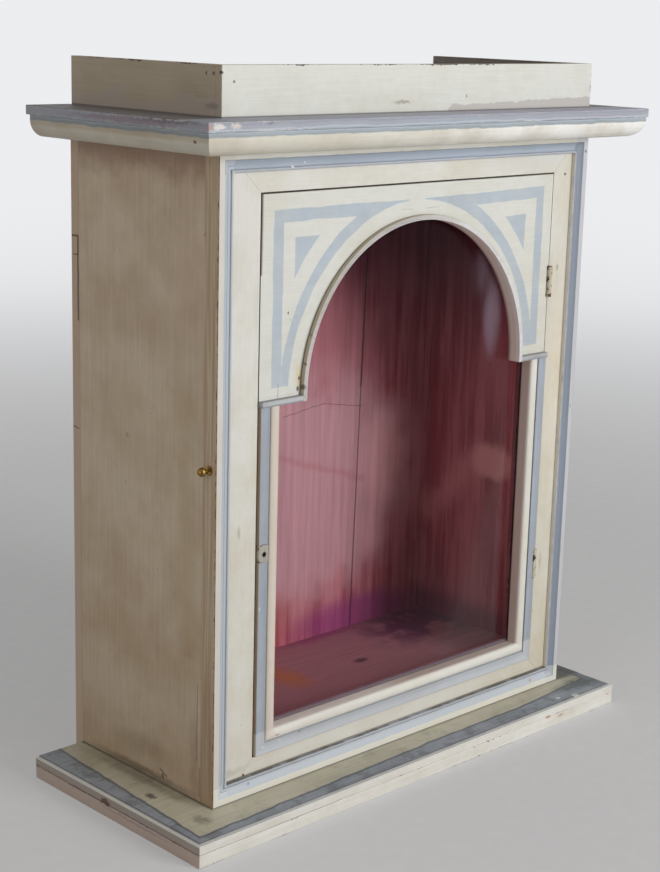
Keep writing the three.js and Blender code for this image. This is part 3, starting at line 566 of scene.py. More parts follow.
def back_wood():
    """Rough pine planks, bare and grey brown behind; wine red distemper on the niche side, with a painted
    pool of light.
    """
    material, tree, place = start_material("sawn_pine_back_planks")
    mm = along_grain(tree)
    bands_place = add(tree, "VectorMath", [mm, (0.004, 0.11, 0.11)], operation="MULTIPLY")
    bend = add(tree, "TexNoise", {"Vector": bands_place, "Scale": 0.5, "Detail": 2.0})
    bands = {"Vector": bands_place, "Scale": 0.16, "Distortion": 9.0, "Detail": 3.0}
    rings = add(tree, "TexWave", bands, bands_direction="Y")
    fine = drawn_out(tree, mm, (0.02, 0.8, 0.8), 4.0)
    dark = add(tree, "MapRange", [rings, 0.2, 0.9])
    colour = over(tree, "#a4866a", dark, "#84694f")
    grey = add(tree, "MapRange", [bend, 0.35, 0.7, 0.1, 0.7])
    colour = over(tree, colour, grey, "#7d7163")
    colour = toned(tree, colour, fine, 0.78, 1.12)
    # The planks' outer edges took the side paint
    x = add(tree, "SeparateXYZ", [place]).outputs["X"]
    painted = add(tree, "MapRange", [off_middle(tree, x, CASE_MIDDLE), CASE_MIDDLE - 0.4, CASE_MIDDLE - 0.1])
    colour = over(tree, colour, painted, "#cbb5a2")
    colour = cracks(tree, place, colour, [
        ((0, 190.4, 495), (0, 190.6, 421), 1.7, 1.2, "#2e1c18", 0.95),
        ((0, 200, 495), (0, 191, 495.5), 1.5, 1.2, "#3a241c", 0.9),
        ((0, 197, 478.5), (0, 191, 479), 1.1, 1.0, "#3a241c", 0.8),
        ((0, 199, 323), (0, 191, 322), 1.1, 1.4, "#4a342a", 0.8),
    ])
    inside = niche_inside(tree, place)
    red, _ = red_stain(tree, place)
    # The first four spots are a painted pool of light; the fifth, dark magenta, is painted shade at the foot
    red = spots(tree, place, red, [
        ((262, 189, 330), (160, 9, 165), "#bd7884", 0.75, 0.5, 20, 60),
        ((288, 189, 215), (186, 9, 154), "#c996a1", 0.9, 0.4, 22, 70),
        ((392, 189, 236), (46, 9, 84), "#f2b4be", 0.9, 0.7, 12, 30),
        ((376, 189, 160), (30, 9, 46), "#dfa4ae", 0.7, 0.8, 12, 30),
        ((360, 189, 66), (130, 9, 30), "#8e2c76", 0.75, 0.7, 12, 30),
        ((226, 189, 82), (46, 9, 46), "#a85048", 0.6, 0.8, 14, 20),
    ])
    rubbed = drawn_out(tree, place, (0.16, 0.16, 0.008), 5.0, 0.65)
    red = toned(tree, red, rubbed, 0.82, 1.12)
    red = cracks(tree, place, red, [
        ((180, 189, 60), (180, 189, 580), 0.8, 0.8, "#2c1016", 0.8),
        ((347.5, 189, 60), (361.5, 189, 580), 0.9, 0.9, "#3c1620", 0.85),
        ((354.4, 189, 316), (361.5, 189, 580), 2.4, 0.5, "#2c0c18", 0.75),
        ((246, 189, 297), (300, 189, 304), 1.0, 3.0, "#5a2a34", 0.6),
        ((300, 189, 304), (357, 189, 294), 1.0, 3.0, "#5a2a34", 0.6),
        ((236, 189, 258), (360, 189, 216), 7.0, 9.0, "#b0606c", 0.35),
    ])
    colour = over(tree, colour, inside, red)
    return close_material(material, colour, 0.78, fine, bump=0.35)


def red_lining():
    """Wine red distemper on pine, dull and thin over the grain, for the ceiling of the niche."""
    material, tree, place = start_material("wine_red_distemper_on_pine")
    colour, fine = red_stain(tree, place)
    return close_material(material, colour, 0.72, fine, bump=0.3)


def floor_stain():
    """Pine floor with a mauve brown stain: flat grain, one dark knot in the middle, and painted shade by the
    walls.
    """
    material, tree, place = start_material("stained_pine_floor")
    knot = add(tree, "VectorMath", [place, FLOOR_KNOT], operation="SUBTRACT")
    shaped = add(tree, "VectorMath", [knot, (0.4, 1.0, 1.0)], operation="MULTIPLY")
    distance = add(tree, "VectorMath", [shaped], operation="LENGTH").outputs["Value"]
    pull = add(tree, "MapRange", [distance, 4.0, 34.0, 1.0, 0.0], interpolation_type="SMOOTHSTEP")
    # The rings bend round the knot
    stretched = add(tree, "VectorMath", [place, (0.006, 0.12, 0.12)], operation="MULTIPLY")
    bend = add(tree, "CombineXYZ", {1: pull})
    bent = add(tree, "VectorMath", [stretched, bend], operation="ADD")
    bands = {"Vector": bent, "Scale": 0.8, "Distortion": 3.5, "Detail": 3.0}
    rings = add(tree, "TexWave", bands, bands_direction="Y")
    fine = drawn_out(tree, place, (0.02, 0.7, 0.7), 4.0)
    line = add(tree, "MapRange", [rings, 0.3, 0.9])
    colour = over(tree, "#ba848f", line, "#986470", 0.6)
    colour = toned(tree, colour, fine, 0.86, 1.1)
    colour = spots(tree, place, colour, [
        (FLOOR_KNOT, (13, 7, 4), "#4a2a34", 0.9, 0.8, 3, 5),
        ((60, 60, 55), (90, 60, 4), "#a4606c", 0.4, 0.9, 20, 30),
        ((196, 120, 55), (26, 44, 4), "#cc7838", 0.7, 0.8, 10, 24),
        # These two dark magenta spots are painted shade where the floor meets the walls
        ((420, 146, 55), (120, 72, 4), "#621c5c", 0.85, 0.7, 20, 40),
        ((300, 186, 55), (90, 16, 4), "#9c2c7c", 0.6, 0.8, 10, 16),
    ])
    return close_material(material, colour, 0.62, fine, bump=0.3)


def gallery_paint():
    """Cream oil paint, thin and patched, on the front board; grey brown sides with a bare band."""
    material, tree, place = start_material("brushed_cream_oil_paint_on_gallery")
    x, y, z = add(tree, "SeparateXYZ", [place]).outputs
    foot = CORNICE_BOARD_TOP
    colour, roughness, height = brushed(
        tree, "#dfe0da", "#cdc8b6", "#6b6058", wear=-0.1, ageing=0.12, streaks=0.25, specks=0.7,
    )
    # Browner paint on the sides, behind the front board, partly as painted warm shade
    behind = add(tree, "MapRange", [y, 0.3, 0.8])
    side, _, _ = brushed(
        tree, "#c0b39f", "#a89980", "#6b5648", wear=0.0, ageing=0.4, streaks=0.5, specks=0.8,
    )
    colour = over(tree, colour, behind, side)
    # An uneven band at the foot was never painted: it widens to the right on the front
    level = joined(tree, "SUBTRACT", z, wavering(tree, place, 14.0, 2.0))
    bare_top = add(tree, "MapRange", [x, 262.0, 268.0, foot, foot + 6.5])
    bare_far = add(tree, "MapRange", [x, 300.0, 430.0, 0.0, 3.5])
    gap = joined(tree, "SUBTRACT", joined(tree, "ADD", bare_top, bare_far), level)
    colour = over(tree, colour, step(tree, gap, 0.0, 1.0), "#bfbab6", 0.85)
    side_level = joined(tree, "SUBTRACT", z, wavering(tree, place, 30.0, 10.0))
    side_gap = joined(tree, "SUBTRACT", foot + 12.0, side_level)
    colour = over(tree, colour, both(tree, step(tree, side_gap, 0.0, 1.4), behind), "#b6aaa2", 0.75)
    # A dark line along the foot is a painted shadow where the gallery stands on the cornice board
    colour = over(tree, colour, step(tree, z, foot + 1.6, foot + 0.4), "#5a5556", 0.8)
    colour = spots(tree, place, colour, [
        ((1.5, 1.5, 643), (3, 2.6, 1.8), "#3c2620", 0.95, 0.5, 2, 2),
        ((1.5, 10, 642), (3, 1.7, 2.0), "#3c2620", 0.9, 0.5, 2, 2),
        ((1.5, 19, 642), (3, 1.5, 2.2), "#4c3026", 0.85, 0.5, 2, 2),
        ((1.5, 12, 617), (3, 14, 4), "#7c6c66", 0.6, 0.8, 5, 6),
        ((14, 0, 636), (1.6, 2, 1.4), "#4f4038", 0.8, 0.5, 1, 2),
        ((287, 0, 621), (1.3, 2, 2.2), "#8d8474", 0.8, 0.6, 1, 2),
        ((205, 0, 617), (16, 2, 2.2), "#a49b94", 0.8, 0.7, 6, 5),
    ])
    # Inside the tray the boards are raw
    inner = add(tree, "MapRange", [y, 7.6, 7.9])
    within = add(tree, "MapRange", [off_middle(tree, x, CASE_MIDDLE), 224.1, 223.8])
    bare, _, _ = brushed(
        tree, "#8d8478", "#665f5a", "#5a4e46", wear=0.0, ageing=0.5, streaks=0.9, specks=0.5,
    )
    colour = over(tree, colour, both(tree, inner, within), bare)
    return close_material(material, colour, roughness, height)


def cornice_board_paint():
    """Blue grey oil paint, rubbed to pink ground and bare wood along the front edge; dusty raw top."""
    material, tree, place = start_material("rubbed_blue_grey_oil_paint_on_cornice_board")
    x, y, z = add(tree, "SeparateXYZ", [place]).outputs
    colour, roughness, height = brushed(
        tree, "#a4adb8", "#a3a0ab", "#c9c9c8", wear=0.1, ageing=0.4, streaks=0.9, specks=0.8,
    )
    dusty, _, _ = brushed(
        tree, "#a2927c", "#7c6c5a", "#6a5544", wear=0.6, ageing=0.5, streaks=0.6, specks=0.9,
    )
    # Behind the gallery's face the top was never painted
    top = step(tree, z, CORNICE_BOARD_TOP - 0.5, CORNICE_BOARD_TOP - 0.1)
    colour = over(tree, colour, both(tree, top, step(tree, y, 1.0, 3.0)), dusty)
    # A grey and a pale stroke run along the front edge
    waved = joined(tree, "ADD", z, wavering(tree, place, 30.0, 1.2))
    face = step(tree, y, -36.0, -36.6)
    colour = over(tree, colour, both(tree, between(tree, waved, 605.4, 607.2, 0.6), face), "#8d90a0", 0.5)
    colour = over(tree, colour, both(tree, between(tree, waved, 601.0, 602.2, 0.5), face), "#c3ced9", 0.6)
    # The top goes lilac to the right, and a painted shadow lies along the gallery's foot
    lilac = both(
        tree, step(tree, x, 80.0, 250.0),
        step(tree, z, CORNICE_BOARD_TOP - 1.0, CORNICE_BOARD_TOP - 0.2), step(tree, y, -1.0, -5.0),
    )
    colour = over(tree, colour, lilac, "#b4b0c4", 0.5)
    colour = over(tree, colour, both(tree, step(tree, y, -2.2, -0.9), top), "#59585c", 0.8)
    colour = spots(tree, place, colour, [
        ((-43, -37.5, 604), (5, 4, 4), "#b99a8c", 0.8, 0.5, 5, 4),
        ((-32, -37.5, 604.5), (8, 4, 3), "#e6dfda", 0.85, 0.5, 6, 4),
        ((-16, -37.5, 604.5), (6, 4, 2.5), "#dcd2cc", 0.8, 0.5, 6, 4),
        ((20, -37.5, 606), (5, 3, 1.6), "#76727a", 0.6, 0.6, 3, 3),
        ((-43, 60, 604), (6, 120, 4), "#84707a", 0.7, 0.7, 8, 6),
        ((-43, 10, 606), (6, 60, 2), "#5c484c", 0.6, 0.7, 8, 6),
    ])
    return close_material(material, colour, roughness, height)


def cornice_paint():
    """Cream oil paint on the quarter round, blue grey on the fillet above it; browner on the sides."""
    material, tree, place = start_material("brushed_oil_paint_on_cornice_moulding")
    x, _, z = add(tree, "SeparateXYZ", [place]).outputs
    level = joined(tree, "ADD", z, wavering(tree, place, 16.0, 0.7))
    fillet = add(tree, "MapRange", [level, 595.2, 596.2])
    # The left return is aged more, so it goes browner, partly as painted warm shade
    left = add(tree, "MapRange", [x, -40.6, -41.3])
    ageing = add(tree, "Math", [left, 0.6, 0.15], operation="MULTIPLY_ADD")
    cream = over(tree, "#dbd7ca", step(tree, x, 60.0, 400.0), "#f2f2ee")
    paint = over(tree, cream, fillet, "#a3adb4")
    aged = over(tree, "#bcae98", fillet, "#8d9296")
    colour, roughness, height = brushed(
        tree, paint, aged, "#6e5848", wear=-0.4, ageing=ageing, streaks=0.3, specks=0.7, edge=12.0,
    )
    # A darker line at the foot of the fillet and a paler one near its top
    colour = over(tree, colour, between(tree, level, 596.0, 596.9, 0.35), "#858f94", 0.35)
    colour = over(tree, colour, between(tree, level, 598.6, 599.6, 0.4), "#b9c6d2", 0.6)
    colour = spots(tree, place, colour, [
        ((-41, -19, 592.3), (6, 2.6, 1.8), "#6a2e20", 0.9, 0.5, 2, 3),
    ])
    return close_material(material, colour, roughness, height)


def banded_moulding(name, bands, aged, wear_tint, extra=()):
    """Oil paint laid in bands along a moulding, by the distance across it in millimetres."""
    material, tree, place = start_material(name)
    across = add(tree, "Attribute", attribute_name="across").outputs["Fac"]
    level = joined(tree, "ADD", across, wavering(tree, place, 14.0, 0.35))
    paint = bands[0][1]
    old = aged[0][1]
    for (begin, tint), (_, tint_aged) in zip(bands[1:], aged[1:]):
        beyond = step(tree, level, begin - 0.35, begin + 0.35)
        paint = over(tree, paint, beyond, tint)
        old = over(tree, old, beyond, tint_aged)
    z = add(tree, "SeparateXYZ", [place]).outputs["Z"]
    low = add(tree, "MapRange", [z, 420.0, 30.0, 0.2, 0.55])
    colour, roughness, height = brushed(
        tree, paint, old, wear_tint, wear=0.0, ageing=low, streaks=0.6, specks=0.7, edge=12.0,
    )
    for begin, end, tint, strength in extra:
        colour = over(tree, colour, between(tree, level, begin, end, 0.3), tint, strength)
    return material, tree, place, level, colour, roughness, height


def frame_moulding_paint():
    """Pale paint on the outer flat, blue grey in the hollow with a line of dirt, a lilac grey bead; a painted
    reflection on the right.
    """
    material, tree, place, level, colour, roughness, height = banded_moulding(
        "brushed_oil_paint_on_frame_moulding",
        [(0, "#dbdad3"), (6.1, "#a5b0bf"), (14.0, "#b4b9c4")],
        [(0, "#c9c0ab"), (6.1, "#9aa4ae"), (14.0, "#a5a8ae")],
        "#8a6a50",
    )
    x, _, z = add(tree, "SeparateXYZ", [place]).outputs
    # Which of the four runs a point is on: each lies within 17 mm of its side of the case
    near, far = FRAME_RUN + 0.2, FRAME_RUN - 0.2
    left = step(tree, x, near, far)
    right = step(tree, x, CASE_WIDTH - near, CASE_WIDTH - far)
    foot = step(tree, z, PLINTH_TOP + near, PLINTH_TOP + far)
    top = step(tree, z, SOFFIT - near, SOFFIT - far)
    runs = (
        (left, 0.0, 6.0, "#d2cdc6", 0.5), (left, 6.0, 16.5, "#ccd2d6", 0.45),
        (right, 6.0, 15.5, "#727b8a", 0.6), (foot, 6.0, 13.0, "#d2d8de", 0.6),
        (left, 10.6, 11.4, "#6f7788", 0.55), (left, 13.6, 14.2, "#7d8288", 0.5),
        # The lilac blue on the right run's outer flat is a painted reflection
        (right, 0.0, 6.0, "#bcc0cc", 0.75), (right, 5.8, 6.6, "#6f7480", 0.5),
        (right, 10.4, 11.2, "#747a88", 0.5), (right, 16.2, 16.9, "#e6dfd4", 0.8),
        (foot, 16.4, 16.9, "#5a564c", 0.9), (foot, 13.1, 13.9, "#70757c", 0.65),
        (foot, 0.0, 6.0, "#e4e3da", 0.75),
        (top, 5.8, 6.6, "#6a7078", 0.6), (top, 13.4, 14.3, "#6f7788", 0.5),
    )
    for run, begin, end, tint, strength in runs:
        line = both(tree, run, between(tree, level, begin, end, 0.3))
        colour = over(tree, colour, line, tint, strength)
    colour = spots(tree, place, colour, [
        ((80, 1, 567), (2.2, 3, 1.6), "#eceae2", 0.9, 0.5, 1, 2),
        ((94, 1, 570), (1.6, 3, 1.4), "#eceae2", 0.8, 0.5, 1, 2),
        ((462.9, 2, 314), (1.4, 3, 3.4), "#5c4a40", 0.8, 0.5, 1, 3),
        ((42, 4, 31), (3, 4, 2), "#6a80a0", 0.8, 0.7, 2, 3),
        ((425, 1, 30), (3, 3, 2.0), "#c08a54", 0.7, 0.6, 2, 3),
        ((463, 0, 566), (2, 2, 2), "#5c4634", 0.7, 0.5, 1, 2),
    ])
    colour = outer_sides(tree, place, colour)
    return close_material(material, colour, roughness, height)


def door_moulding_paint():
    """Blue grey in the cove, dirt in the quirk, a clean cream bead by the glass; raw edge to the gap."""
    material, tree, place, _, colour, roughness, height = banded_moulding(
        "brushed_oil_paint_on_door_moulding",
        [(0, "#a8b0bc"), (11.4, "#e2e1da")],
        [(0, "#979da5"), (11.4, "#d3cdbd")],
        "#8a6a50",
        [(10.5, 11.7, "#83868a", 0.7), (0.0, 0.7, "#85827e", 0.5)],
    )
    across = add(tree, "Attribute", attribute_name="across").outputs["Fac"]
    colour = over(tree, colour, step(tree, across, 0.25, 0.05), "#9c8570")
    colour = over(tree, colour, step(tree, across, 21.2, 21.45), "#f2eee9")
    x, _, z = add(tree, "SeparateXYZ", [place]).outputs
    left_bead = both(
        tree, step(tree, x, 73.0, 72.4), step(tree, across, 11.6, 12.0), step(tree, across, 21.2, 20.9),
    )
    colour = over(tree, colour, left_bead, "#d2bcae", 0.5)
    colour = over(tree, colour, step(tree, z, 75.5, 74.0), "#f4f3f0", 0.25)
    colour = spots(tree, place, colour, [
        ((103, 2, 63), (2, 3, 1.2), "#6c5a48", 0.8, 0.5, 2, 3),
        ((75, 2, 68), (3, 3, 1.0), "#8c7660", 0.7, 0.5, 2, 3),
        ((60, 2, 60), (3, 3, 1.6), "#eeeae0", 0.9, 0.6, 3, 3),
        ((80, 2, 61), (2, 3, 1.4), "#eeeae0", 0.8, 0.6, 3, 3),
        ((53, 2, 190), (2, 3, 3), "#e4e0d6", 0.7, 0.6, 3, 3),
    ])
    return close_material(material, colour, roughness, height)


def door_frame_paint():
    """Raw pine gone brown where the door frame shows in its rebates, with cream on its face."""
    material, tree, place = start_material("raw_pine_door_frame")
    x, y, z = add(tree, "SeparateXYZ", [place]).outputs
    colour, roughness, height = brushed(
        tree, "#8a6650", "#6a4636", "#54382c", wear=0.1, ageing=0.45, streaks=0.9, specks=0.5,
    )
    front = add(tree, "MapRange", [y, 5.9, 5.6])
    colour = over(tree, colour, front, "#d4cdb6")
    # The reveal in front of the glass is painted with the front, with dirt where it meets the pane
    left, right, foot, _ = DOOR
    inward = joined(tree, "SUBTRACT", x, left)
    outward = joined(tree, "SUBTRACT", right, x)
    upward = joined(tree, "SUBTRACT", z, foot)
    depth = joined(tree, "MINIMUM", inward, outward, upward)
    reveal = both(tree, step(tree, depth, 18.0, 19.0), step(tree, y, 15.2, 14.8))
    shaded = over(tree, "#eee9e1", step(tree, x, 200.0, 260.0), "#cfc4ba")
    colour = over(tree, colour, reveal, shaded)
    grime = both(tree, reveal, step(tree, y, 13.4, 14.8))
    colour = over(tree, colour, grime, "#6e6662", 0.8)
    return close_material(material, colour, roughness, height, bump=0.35)


def spandrel_ornament(tree, place, side):
    """A mask of the ornament in one upper corner: a frame, an arch band and a small triangle inside."""
    x, _, z = add(tree, "SeparateXYZ", [place]).outputs
    radius = from_centre(tree, x, z, side["centre"])

    def edge(value, limit, outside_above):
        """A distance, positive outside a line: the largest of several bounds what they share."""
        pair = [value, limit] if outside_above else [limit, value]
        return add(tree, "Math", pair, operation="SUBTRACT")

    right = side["right"]
    inward = -1 if right else 1
    slope = add(tree, "Math", [x, side["top_slope"], side["top"]], operation="MULTIPLY_ADD")
    inner_top = add(tree, "Math", [slope, side["top_width"]], operation="SUBTRACT")
    outer = joined(
        tree, "MAXIMUM", edge(x, side["outer"], right), edge(x, side["tip"], not right),
        edge(z, slope, True), edge(z, side["foot"], False), edge(radius, side["arc"][0], False),
    )
    hole = joined(
        tree, "MAXIMUM", edge(x, side["outer"] + inward * side["side_width"], right),
        edge(z, inner_top, True), edge(radius, side["arc"][1], False),
    )
    frame_shape = joined(tree, "MAXIMUM", outer, joined(tree, "MULTIPLY", hole, -1.0))
    upright, top, arc = side["triangle"]
    triangle = joined(
        tree, "MAXIMUM", edge(x, upright, right), edge(x, side["tip"], not right),
        edge(z, top, True), edge(radius, arc, False),
    )
    shape = joined(tree, "MINIMUM", frame_shape, triangle)
    uneven = add(tree, "Math", [shape, wavering(tree, place, 25.0, 0.8)], operation="ADD")
    return add(tree, "MapRange", [uneven, 0.45, -0.45]).outputs[0]


# The ornament's lines in both corners. The triangle's are its upright, its top and its arc
LEFT_ORNAMENT = {
    "right": False, "centre": (241.0, 374.0), "arc": (158.0, 168.0), "outer": 63.8, "side_width": 11.0,
    "tip": 224.0, "top": 532.0, "top_slope": 0.0, "top_width": 10.5, "foot": 382.0,
    "triangle": (88.3, 508.0, 183.0),
}
RIGHT_ORNAMENT = {
    "right": True, "centre": (233.0, 374.0), "arc": (157.5, 168.5), "outer": 409.9, "side_width": 11.0,
    "tip": 244.5, "top": 527.4, "top_slope": 0.018, "top_width": 10.5, "foot": 382.0,
    "triangle": (384.1, 509.3, 181.5),
}


def spandrel_paint():
    """Cream oil paint with blue grey ornament drawn by hand in both corners."""
    material, tree, place = start_material("cream_oil_paint_with_blue_grey_ornament")
    x, y, z = add(tree, "SeparateXYZ", [place]).outputs
    ornaments = [spandrel_ornament(tree, place, side) for side in (LEFT_ORNAMENT, RIGHT_ORNAMENT)]
    front = add(tree, "MapRange", [y, FRAME_FACE + 0.4, FRAME_FACE + 0.1])
    thin = add(tree, "TexNoise", {"Vector": place, "Scale": THIN_COVER, "Detail": 4.0})
    cover = add(tree, "MapRange", [thin, 0.3, 0.6, 0.82, 1.0])
    drawn = both(tree, joined(tree, "MAXIMUM", *ornaments), front, cover)
    paint = over(tree, "#dadbd5", drawn, "#b3bec9")
    aged = over(tree, "#cdc8b6", drawn, "#a9b0b2")
    right = add(tree, "MapRange", [x, 250.0, 430.0, 0.12, 0.4])
    colour, roughness, height = brushed(
        tree, paint, aged, "#8a6a50", wear=-2.0, ageing=right, streaks=0.12, specks=0.4,
    )
    # The sawn edge of the arch took the front's paint, with dirt by the glass; the outer edges are raw
    radius = from_centre(tree, x, z, ARCH_CENTRE)
    inner = add(tree, "MapRange", [radius, ARCH_RADIUS + 0.6, ARCH_RADIUS + 0.3])
    sawn = over(tree, "#e8ded4", step(tree, y, 10.5, 14.4), "#8d807a", 0.8)
    colour = over(tree, colour, inner, sawn)
    left, right, _, _ = DOOR
    half = (right - left) / 2
    deep = add(tree, "MapRange", [y, FRAME_FACE + 0.3, FRAME_FACE + 1.0])
    out = add(tree, "MapRange", [off_middle(tree, x, (left + right) / 2), half - 0.4, half - 0.2])
    back = add(tree, "MapRange", [y, 14.5, 14.8])
    raw = joined(tree, "MAXIMUM", both(tree, deep, out), back)
    colour = over(tree, colour, raw, raw_wood(tree, x))
    colour = spots(tree, place, colour, [
        ((81.5, 5.5, 445), (1.2, 2, 1.6), "#4a3c30", 0.9, 0.5, 1, 2),
        ((84, 5.5, 439), (1.0, 2, 1.0), "#8a7a68", 0.6, 0.5, 1, 2),
        ((94, 5.5, 390), (3.4, 2, 15), "#dcc894", 0.75, 0.7, 2, 5),
        ((95.4, 5.5, 387.5), (1.6, 2, 2.4), "#4a3a2c", 0.85, 0.6, 1, 2),
        ((94, 5.5, 378.5), (2.0, 2, 3.0), "#4a3a2c", 0.85, 0.6, 1, 2),
    ])
    colour = cracks(tree, place, colour, [
        ((71.5, 5.5, 386), (71.5, 5.5, 369), 0.6, 1.0, "#6c5c4c", 0.8),
        ((50.6, 5.5, 546), (50.2, 5.5, 480), 2.4, 0.6, "#5c3a32", 0.9),
        ((214, 5.5, 524), (229, 5.5, 523), 0.45, 1.0, "#a08c80", 0.7),
        ((246, 5.5, 523), (262, 5.5, 523.5), 0.45, 1.0, "#a08c80", 0.7),
    ])
    return close_material(material, colour, roughness, height)


def strip_paint():
    """Grey white oil paint on the thin strips, lilac grey on the ledges, olive wood on the outside, darker by
    the board.
    """
    material, tree, place = start_material("weathered_grey_oil_paint_on_strips")
    x, y, z = add(tree, "SeparateXYZ", [place]).outputs
    # The ledges reach out sideways from the feet of the arch
    aside = off_middle(tree, x, ARCH_CENTRE[0])
    beside = step(tree, aside, ARCH_RADIUS + 4.7, ARCH_RADIUS + 4.9)
    ledge = both(tree, beside, step(tree, z, ARCH_CENTRE[1] - 0.6, ARCH_CENTRE[1] - 0.8))
    shaded = step(tree, x, 330.0, 200.0)
    paint = over(tree, "#e2e2e4", shaded, "#c6c2c1")
    paint = over(tree, paint, ledge, "#bcbfc3")
    aged = over(tree, "#c2bfbd", shaded, "#a39d98")
    aged = over(tree, aged, ledge, "#9a9a9c")
    colour, roughness, height = brushed(
        tree, paint, aged, "#8a8076", wear=0.2, ageing=0.4, streaks=0.6, specks=0.9, edge=3.0,
    )
    low = both(tree, ledge, step(tree, z, SPANDREL_FOOT + 2.0, SPANDREL_FOOT + 1.2))
    colour = over(tree, colour, low, "#8d9098", 0.8)
    colour = over(tree, colour, both(tree, ledge, step(tree, z, 372.2, 372.9)), "#77767a", 0.6)
    # The arch strip is pale inside, by the glass, and bare outside, darker towards the board with dirt and
    # painted shade
    radius = from_centre(tree, x, z, ARCH_CENTRE)
    arch = joined(tree, "SUBTRACT", 1.0, ledge)
    inside = both(tree, arch, step(tree, radius, ARCH_RADIUS + 0.6, ARCH_RADIUS + 0.2))
    colour = over(tree, colour, inside, "#f2efee")
    outside = both(tree, arch, step(tree, radius, ARCH_RADIUS + 4.0, ARCH_RADIUS + 4.3))
    colour = over(tree, colour, outside, over(tree, "#b3a994", step(tree, y, 3.6, 5.0), "#5f5646"))
    colour = spots(tree, place, colour, [
        ((96.8, 2, 380), (3, 5, 3), "#4a3c30", 0.8, 0.6, 3, 3),
        ((98, 2, 400), (3, 5, 2), "#5a4a3c", 0.7, 0.6, 3, 3),
        ((104, 2, 424), (3, 5, 2), "#5a4a3c", 0.6, 0.6, 3, 3),
    ])
    return close_material(material, colour, roughness, height)


